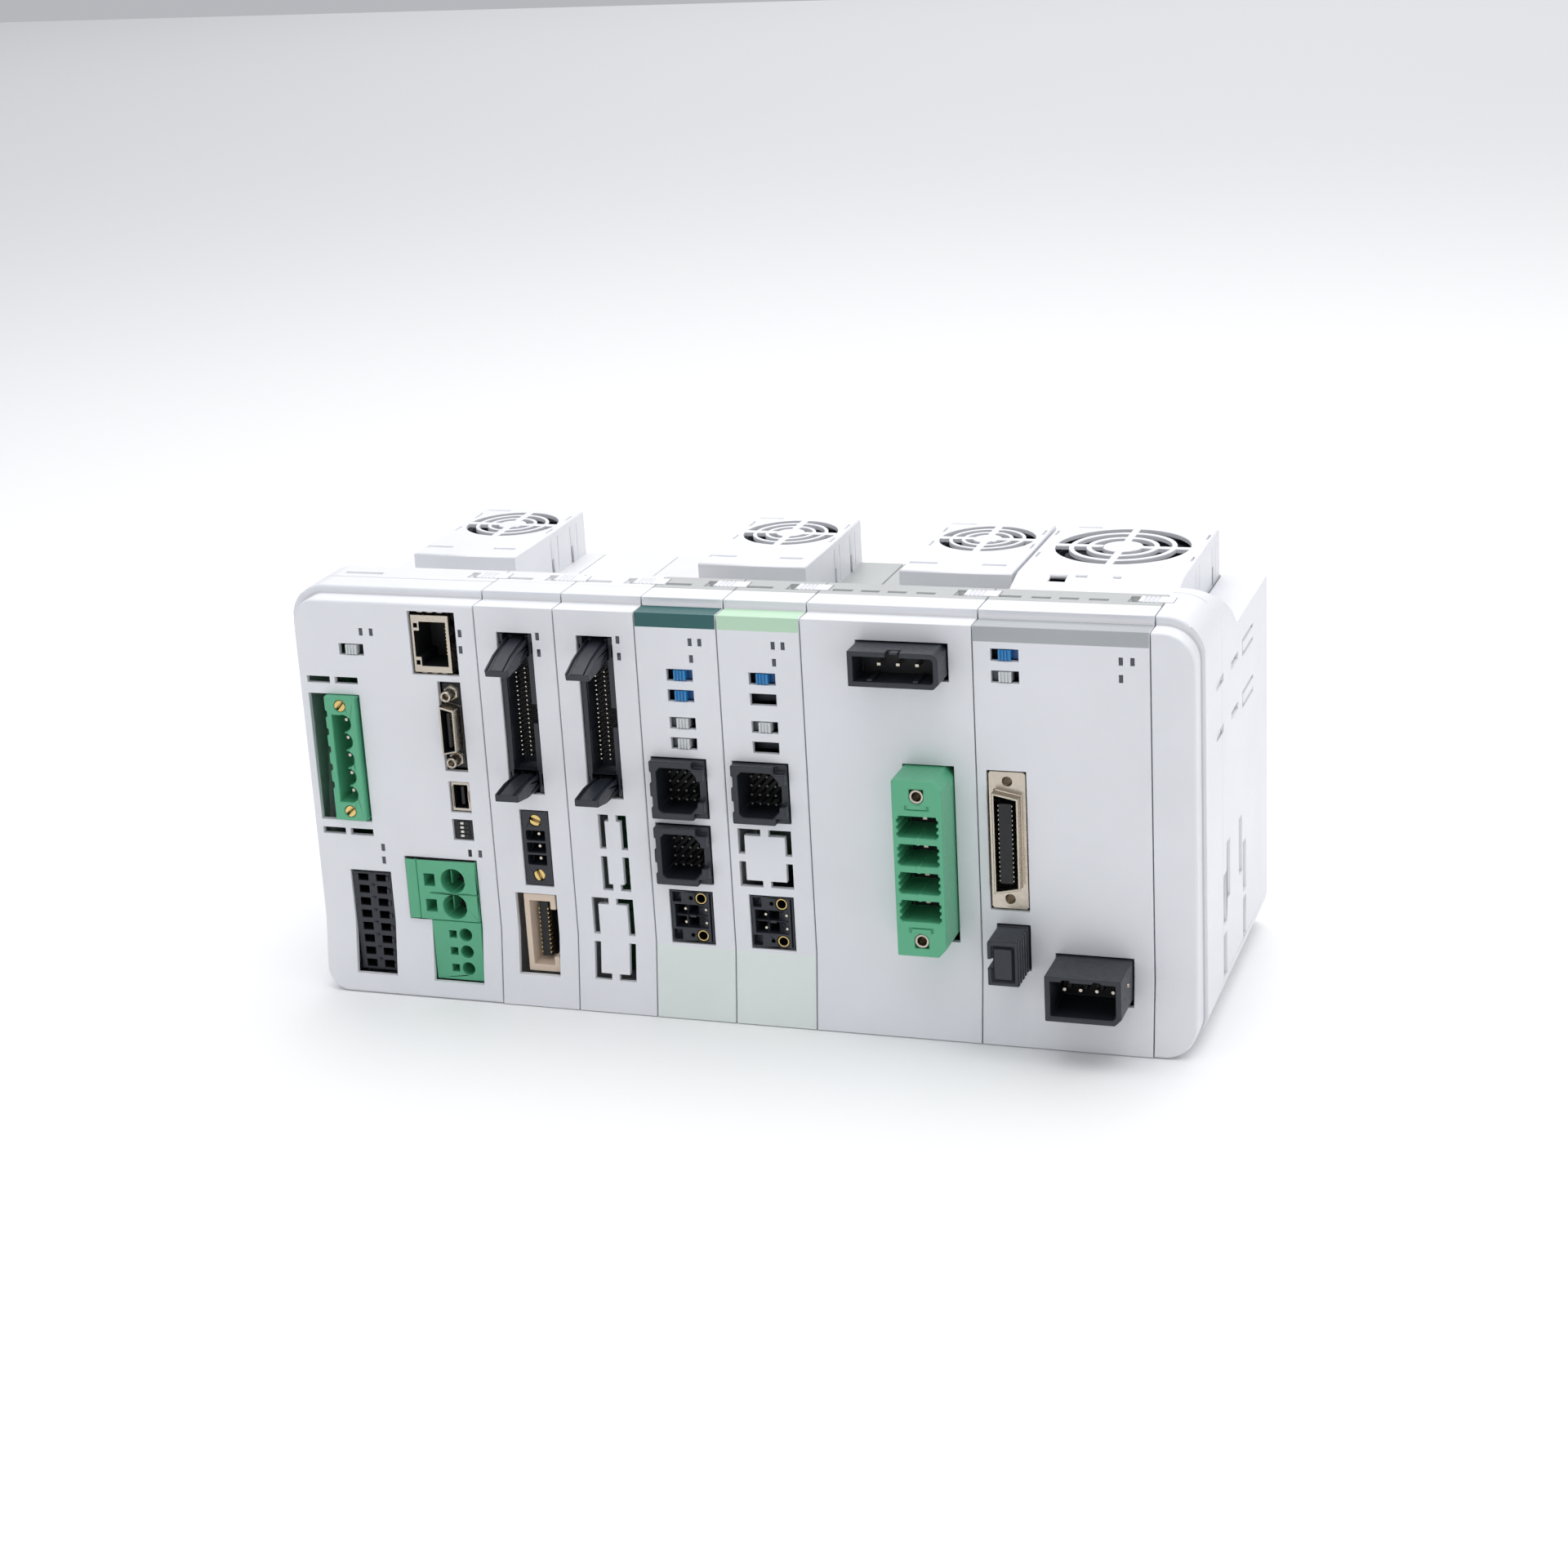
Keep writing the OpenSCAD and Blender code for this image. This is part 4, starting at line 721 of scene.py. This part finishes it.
for x, z in SOCKETS:
    for a in (-1.5, -0.5, 0.5, 1.5):
        for b in (-1.5, -0.5, 0.5, 1.5):
            rod(pins, x + a * 2.2, z + b * 2.5, 0.35, 1.6, PIN_FOOT, steps=10)
for i in (-1, 0, 1):
    block(pins, 173.8 + i * 5 - 0.5, 173.8 + i * 5 + 0.5, -3.5, 0.4, 102.2, 103.0)
for i in range(4):
    z = MAINS_Z + (i - 1.5) * MAINS_PITCH
    block(pins, MAINS_X - 0.6, MAINS_X + 0.6, -4.5, 0.4, z - 0.5, z + 0.5)
    rod(pins, MOTOR_X + (i - 1.5) * MOTOR_PITCH, MOTOR_Z, 0.5, -7.5, 0.4, steps=12)
# Pins deep in the motor sockets take a darker copy of the tinned pin: painted shade.
SOCKET_PIN_SHADE = plastic("tinned_pin_painted_shade", linear(92, 90, 88), 0.5, 0.1, 900.0)
SOCKET_PIN_SHADE.node_tree.nodes["Principled BSDF"].inputs["Metallic"].default_value = 1.0
paint(pins, 1, lambda c: 107 < c.x < 139 and 38 < c.z < 72)
piece("pins", pins, [PIN, SOCKET_PIN_SHADE], stands_for=("contact_pins",), rounding=0.06)


def lever(node):
    """An ejector lever with two grooves along the rib that a thumb presses on."""
    bm = take(node)
    middle = sum((v.co.x for v in bm.verts), 0.0) / len(bm.verts)
    for at in (-2.75, -1.75, 1.75, 2.75):
        bmesh.ops.bisect_plane(bm, geom=bm.verts[:] + bm.edges[:] + bm.faces[:], dist=0.001,
                               plane_co=(middle + at, 0, 0), plane_no=(1, 0, 0))
    bm.normal_update()
    for low, high in ((-2.76, -1.74), (1.74, 2.76)):
        strip = [f for f in bm.faces if low < f.calc_center_median().x - middle < high
                 and f.calc_center_median().y < 1.0 and f.normal.z > 0.3 and abs(f.normal.x) < 0.2]
        if not strip:
            continue
        out = bmesh.ops.extrude_face_region(bm, geom=strip)["geom"]
        sunk = [v for v in out if isinstance(v, bmesh.types.BMVert)]
        bmesh.ops.translate(bm, vec=(0, 0.2, -0.7), verts=sunk)
        bmesh.ops.delete(bm, geom=[f for f in strip if f.is_valid], context="FACES_ONLY")
    piece(node + "_arm", bm, BLACK_SOFT, body=node + "_body", stands_for=(node,),
          rounding=0.25)


for key in "ab":
    lever("upper_lever_" + key)
    lever("lower_lever_" + key)

flanged = take("flanged_headers")
tool = bmesh.new()
for x in STOP_X:
    block(tool, x - 5.4, x - 3.0, -1, 3, 32.6, 35.3)
    block(tool, x - 5.6, x - 3.2, -1, 3, 21.7, 24.6)
    block(tool, x - 4.9, x + 4.3, -1, 1.6, 25.3, 31.8)
    for z in STOP_NUT_ROWS:
        rod(tool, x - 0.2, z, 0.55, -1, 3, steps=16)
    block(tool, x + 5.0, x + 5.35, -1, 1.2, 21.6, 35.4)
for z in (48.7, 45.2, 41.7):
    block(tool, 66.2, 71.6, -1, 4, z - 1.25, z + 1.25)
flanged = carve(flanged, tool)
for x in STOP_X:
    block(flanged, x - 0.9, x + 0.9, 0.7, 3, 28.1, 28.9)
    block(flanged, x - 4.6, x + 4.0, 1.2, 3, 28.35, 28.65)
piece("flanged_blocks", flanged, BLACK_SOFT, stands_for=("flanged_headers",),
      rounding=header_edge)

shroud = carve(take("extension_header"), fresh((70.6, 73.5, -1, 6, 13.6, 27.4)))
block(shroud, 66.9, 69.5, 3.5, 9, 12.5, 28.3)
paint(shroud, 1, lambda c: 66.7 < c.x < 69.7 and 12.3 < c.z < 28.5 and c.y > 3.2)
piece("extension_shroud", shroud, [BEIGE, LINER], stands_for=("extension_header",),
      rounding=header_edge)
contacts = fresh(*[(x, x + 0.35, 3.2, 5, 13.6 + i * 1.27, 14.0 + i * 1.27)
                   for i in range(11) for x in (66.75, 69.3)])
piece("extension_contacts", contacts, BRASS, rounding=0.04)

sockets_bm = bmesh.new()
for x, z in SOCKETS:
    block(sockets_bm, x - 7.4, x + 7.4, -2.9, 20, z - 8, z + 8)
tool = bmesh.new()
for x, z in SOCKETS:
    prism(tool, [(x - 5.5, z - 5.2), (x - 4.5, z - 6.2), (x + 3.4, z - 6.2), (x + 5.5, z - 4.1),
                 (x + 5.5, z + 4.1), (x + 3.4, z + 6.2), (x - 4.5, z + 6.2), (x - 5.5, z + 5.2)], -4, 8)
    block(tool, x + 5.3, x + 8, -4, -0.2, z - 2.9, z + 2.9)
    for s in (-1, 1):
        block(tool, x + 4.4, x + 8, -4, -0.6, z + s * 7.3 - 1.2, z + s * 7.3 + 1.2)
        block(tool, x - 7.6, x - 7.0, -4, -1.2, z + s * 3.4 - 1.5, z + s * 3.4 + 1.5)
sockets_bm = carve(sockets_bm, tool)
paint(sockets_bm, 1, lambda c: c.y > 7)
piece("socket_frames", sockets_bm, [BLACK_SOFT, LINER], stands_for=("motor_sockets",),
      rounding=header_edge)

# Headers of the two wide units
# The drive power header is an open black box with a key tab, the mains header a
# green block with combed pole cavities and threaded inserts. The servo unit has
# a nickel-plated encoder connector, a ribbed bridging plug and a black box
# connector for the motor.
power_box = bmesh.new()
prism(power_box, [(162.0, 97.9), (184.2, 97.9), (185.6, 99.3), (185.6, 105.9), (184.2, 107.3),
                  (162.0, 107.3)], -8.5, 20)
tool = bmesh.new()
prism(tool, [(163.4, 99.3), (183.6, 99.3), (184.2, 99.9), (184.2, 105.3), (183.6, 105.9),
             (163.4, 105.9)], -9.5, 0)
block(tool, 172.0, 175.6, -9.5, -5.5, 105.5, 108)
power_box = carve(power_box, tool)
block(power_box, 172.6, 175.0, -7.4, 0, 106.2, 107.0)
for x in (167.5, 179.5):
    block(power_box, x - 0.8, x + 0.8, -8.0, -1, 99.2, 99.9)
paint(power_box, 1, lambda c: c.y > -0.6 and 163 < c.x < 184.6 and 99 < c.z < 106)
piece("drive_power_box", power_box, [BLACK_SOFT, LINER], stands_for=("drive_power_header",),
      rounding=header_edge)

INSERTS = ((31.4, 1), (70.6, -1))
mains = bmesh.new()
prism(mains, [(173.1, 27.2), (184.0, 27.2), (186.1, 29.6), (186.1, 72.4), (184.0, 74.8),
              (173.1, 74.8)], -12, 20)
tool = bmesh.new()
for i in range(4):
    z = MAINS_Z + (i - 1.5) * MAINS_PITCH
    block(tool, 174.6, 184.6, -13, 0, z - 2.9, z + 2.9)
    for dz in (-2.1, -0.3, 1.5):
        block(tool, 174.1, 174.7, -13, -1, z + dz - 0.35, z + dz + 0.55)
        block(tool, 184.5, 185.1, -13, -1, z + dz - 0.35, z + dz + 0.55)
for z, s in INSERTS:
    rod(tool, MAINS_X, z, 1.95, -13, -3)
    low, high = sorted((z, z - s * 2.0))
    block(tool, 177.7, 181.5, -13, -10.4, low, high)
    low, high = sorted((z + s * 2.4, z + s * 3.6))
    block(tool, 176.4, 182.8, -13, -11.5, low, high)
mains = carve(mains, tool)
for i in range(3):
    rod(mains, MAINS_X, MAINS_Z + (i - 1) * MAINS_PITCH, 1.1, -12.05, -1, steps=12)
for z, s in INSERTS:
    low, high = sorted((z + s * 2.0, z + s * 3.4))
    block(mains, 177.0, 182.2, -12.0, -11, low, high)
paint(mains, 1, lambda c: -1.4 < c.y < 0.5 and 174 < c.x < 185.2)
piece("mains_block", mains, [GREEN, LINER], stands_for=("mains_header",),
      rounding=header_edge)
tool = bmesh.new()
nuts = bmesh.new()
for z, _ in INSERTS:
    rod(nuts, MAINS_X, z, 1.9, -11.7, -3)
    rod(tool, MAINS_X, z, 1.25, -13, -3.5)
piece("mains_nuts", carve(nuts, tool), NICKEL, rounding=0.15)

ENCODER_X, ENCODER_Z, JACKSCREW_OUT = 200.0, 55.65, 15.95
flange = bmesh.new()
prism(flange, [(195.1, 37.6), (195.7, 37.0), (204.3, 37.0), (204.9, 37.6), (204.9, 73.7), (204.3, 74.3),
               (195.7, 74.3), (195.1, 73.7)], 0.6, 6)
prism(flange, [(196.6, 41.9), (203.4, 43.3), (203.4, 68.0), (196.6, 69.4)], -2.4, 0.8)
tool = bmesh.new()
prism(tool, [(197.15, 42.6), (202.85, 43.8), (202.85, 67.5), (197.15, 68.7)], -3, 5.4)
for s in (-1, 1):
    rod(tool, ENCODER_X, ENCODER_Z + s * JACKSCREW_OUT, 1.25, 0, 8)
flange = carve(flange, tool)
paint(flange, 1, within(197, 203, 42.4, 69, 4.8))
for s in (-1, 1):
    rod(flange, ENCODER_X, ENCODER_Z + s * JACKSCREW_OUT, 1.9, 5.0, 8, steps=6)
piece("encoder_shell", flange, [NICKEL, LINER], stands_for=("encoder_connector",),
      rounding=0.18)
piece("encoder_insert", fresh((198.2, 201.6, -1.9, 6, 44.8, 66.5), (195.3, 204.7, 6, 20, 37.4, 73.9)), LINER,
      rounding=0.15)
contacts = fresh(*[(x, x + 0.3, -1.7, 3, 45.3 + i * 1.27, 45.75 + i * 1.27)
                   for i in range(17) for x in (198.0, 201.5)])
piece("encoder_contacts", contacts, PIN, rounding=0.04)

bridge = take("stop_plug")
tool = fresh((198.0, 203.6, -12.5, -11.7, 22.0, 31.4))
block(tool, 196, 206, -0.9, -0.4, 20, 33.5)
bridge = carve(bridge, tool)
block(bridge, 198.3, 203.3, -12.0, -11.5, 22.3, 31.1)
piece("bridge_plug", bridge, BLACK_SOFT, stands_for=("stop_plug",), rounding=0.45)

motor = bmesh.new()
prism(motor, [(212.0, 13.1), (230.0, 13.1), (231.8, 14.9), (231.8, 25.5), (212.0, 25.5)], -14.5, 20)
tool = bmesh.new()
prism(tool, [(213.5, 14.6), (229.4, 14.6), (230.3, 15.5), (230.3, 24.0), (213.5, 24.0)], -15.5, 0)
for x in (217.5, 225.5):
    block(tool, x - 1.0, x + 1.0, -15.5, -9, 23.4, 24.6)
motor = carve(motor, tool)
for i in range(4):
    x = MOTOR_X + (i - 1.5) * MOTOR_PITCH
    block(motor, x - 1.2, x + 1.2, -4, 0.2, 18.0, 20.6)
paint(motor, 1, lambda c: -4.2 < c.y < 0.5 and 213 < c.x < 230.5 and 14 < c.z < 24.2)
piece("motor_box", motor, [BLACK_SOFT, LINER], stands_for=("motor_connector",),
      rounding=0.35)
peg = bmesh.new()
bmesh.ops.create_cone(peg, cap_ends=True, segments=16, radius1=0.6, radius2=0.5, depth=0.6,
                      matrix=Matrix.Translation((231.9, -6.6, 21.3)) @ Matrix.Rotation(radians(90), 4, "Y"))
piece("motor_peg", peg, NICKEL, rounding=0.08)

# Fans
# Four cooling fans stand on the roof under white snap-on covers, each held by
# two tongues per side. The frame is a black square with four struts, and the
# rotor has seven swept blades round its hub.
FANS = (("a", 35.2, 77.8, 12.7), ("b", 119.6, 77.8, 12.7), ("c", 176.3, 77.8, 12.7))
HOOD_HALF, LARGE_HALF = 15.3, 22.2
LARGE_X, LARGE_Y = 214.8, 74.0
HOOD_SIDES = [(x, HOOD_HALF) for _, x, _, _ in FANS] + [(LARGE_X, LARGE_HALF)]


def fan_cover_edge(e):
    """Rounding of a fan cover: its outer edges are soft, the grille's rings slight."""
    if ends(e, lambda c: c.z > 113.9 or c.z < 101.3):
        outer = (ends(e, lambda c: any(abs(abs(c.x - x) - half) < 0.3 for x, half in HOOD_SIDES))
                 or ends(e, lambda c: c.y < 46.5 or c.y > 94.0))
        if outer and ends(e, lambda c: c.z > 113.9):
            return 0.5
        return 0.2 if ends(e, lambda c: c.z > 113.9) else 0.0
    if e.is_convex and ends(e, lambda c: c.y < 46.5 or c.y > 94.0):
        return 0.5
    return 0.0


def snap_marks(bm, x, half, x_groove, backs):
    """The groove, slits and window round each of the tongues that hold a fan cover at its two sides."""
    for s in (-1, 1):
        groove = x + s * x_groove
        wall = x + s * half
        for back in backs:
            block(bm, groove - 0.3, groove + 0.3, back, back + 5, 112.9, 115)
            block(bm, wall - 0.3, wall + 0.3, back - 0.3, back + 0.1, 101.8, 112)
            block(bm, wall - 0.3, wall + 0.3, back + 4.6, back + 5.0, 101.8, 112)
            block(bm, wall - 1.5, wall + 1.5, back - 0.3, back + 1.6, 101.0, 106.2)


covers_bm = take("fan_covers")
tool = bmesh.new()
for _, x, y, _ in FANS:
    block(tool, x - 14.6, x - 7.0, 50.2, 52.3, 113.5, 115)
    block(tool, x + 5.4, x + 12.0, 50.2, 52.3, 113.5, 115)
    block(tool, x - 14.0, x - 7.0, 91.9, 93.1, 113.5, 115)
    snap_marks(tool, x, HOOD_HALF, x_groove=14.1, backs=(69.0, 83.4))
snap_marks(tool, LARGE_X, LARGE_HALF, x_groove=20.9, backs=(61.0, 83.4))
block(tool, 201.8, 206.2, 41.5, 45.0, 108.0, 116)
block(tool, 208.5, 211.5, 44.2, 45.2, 110.6, 116)
block(tool, 218.5, 220.5, 44.2, 45.2, 110.6, 116)
block(tool, 198.5, 205.0, 91.9, 93.1, 113.5, 115)
covers_bm = carve(covers_bm, tool)
piece("fan_hoods", covers_bm, WHITE, stands_for=("fan_covers",),
      rounding=fan_cover_edge, segments=3)
piece("latch_shade", fresh((201.0, 207.0, 41.0, 46.0, 102.0, 107.6)), LINER, rounding=0.3)

frames_bm = take("fan_frames")
piece("fan_square_frames", frames_bm, BLACK_SOFT, stands_for=("fan_frames",), rounding=0.2)


def rotor(node, x, y, tip, hub):
    """Hub with a domed rim and seven blades swept and twisted as they run outwards."""
    bm = bmesh.new()
    rings = [(hub - 0.8, 111.2), (hub - 0.25, 111.0), (hub, 110.4), (hub, 103.4), (hub - 1.2, 103.4)]
    loop = [bm.verts.new((x + r, y, z)) for r, z in rings]
    edges = [bm.edges.new(pair) for pair in zip(loop, loop[1:])]
    bmesh.ops.spin(bm, geom=loop + edges, cent=(x, y, 0), axis=(0, 0, 1), angle=2 * pi, steps=48,
                   use_merge=True)
    rims = [e for e in bm.edges if len(e.link_faces) == 1]
    bmesh.ops.holes_fill(bm, edges=rims, sides=60)
    place = Matrix.Translation((x, y, 102.9))
    bmesh.ops.create_cone(bm, cap_ends=True, segments=24, radius1=0.95, radius2=0.95, depth=1.2, matrix=place)
    for k in range(7):
        rows = []
        for j in range(7):
            t = j / 6
            r = hub - 0.4 + t * (tip - hub + 0.4)
            turn = 2 * pi * k / 7 + 0.42 * t * t
            half = (0.42 - 0.06 * t) * (hub / r) ** 0.35
            row = []
            for side, z in ((-1, 109.9), (-0.33, 107.9), (0.33, 105.7), (1, 103.9)):
                a = turn + side * half
                row.append((x + r * cos(a), y + r * sin(a), z - 0.25 * t))
            rows.append(row)
        for lift in (0.0, 0.55):
            grid = [[bm.verts.new((px, py, pz + lift)) for px, py, pz in row] for row in rows]
            for a, b in zip(grid, grid[1:]):
                for i in range(3):
                    bm.faces.new((a[i], a[i + 1], b[i + 1], b[i]))
            if lift == 0.0:
                under = grid
        border = ([(r, 0) for r in range(7)] + [(6, c) for c in range(1, 4)]
                  + [(r, 3) for r in range(5, -1, -1)] + [(0, c) for c in range(2, 0, -1)])
        for (r0, c0), (r1, c1) in zip(border, border[1:] + border[:1]):
            bm.faces.new((under[r0][c0], under[r1][c1], grid[r1][c1], grid[r0][c0]))
    piece(node + "_blades", bm, BLACK_SOFT, body=node + "_body", stands_for=(node,),
          rounding=lambda e: 0.12 if corner(e, 50) else 0.0)


HUB_R = 6.4
for key, x, y, tip in FANS:
    rotor("fan_rotor_" + key, x, y, tip, HUB_R)
rotor("large_fan_rotor", LARGE_X, LARGE_Y, 17.7, HUB_R)

# Lock slides and rail clips
# A white slide with a finger rib bridges each joint on top. The clips at the
# back are pulled down by a slot in their foot.
for key, seam in zip("abcdefg", SEAMS):
    slide = fresh((seam - 6.8, seam + 2.2, 18.2, 23.2, 113.5, 115.2))
    ribs = fresh(*[(seam - 5.6 + 1.1 * i, seam - 5.2 + 1.1 * i, 17, 24, 115.0, 116) for i in range(4)])
    slide = carve(slide, ribs)
    piece("unit_lock_%s_slide" % key, slide, WHITE, body="unit_lock_%s_body" % key,
          stands_for=("unit_lock_" + key,), rounding=0.22)
for key in "abc":
    clip = take("rail_clip_" + key)
    piece("rail_clip_%s_tongue" % key, clip, BLACK_SOFT, body="rail_clip_%s_body" % key,
          stands_for=("rail_clip_" + key,), rounding=0.3)
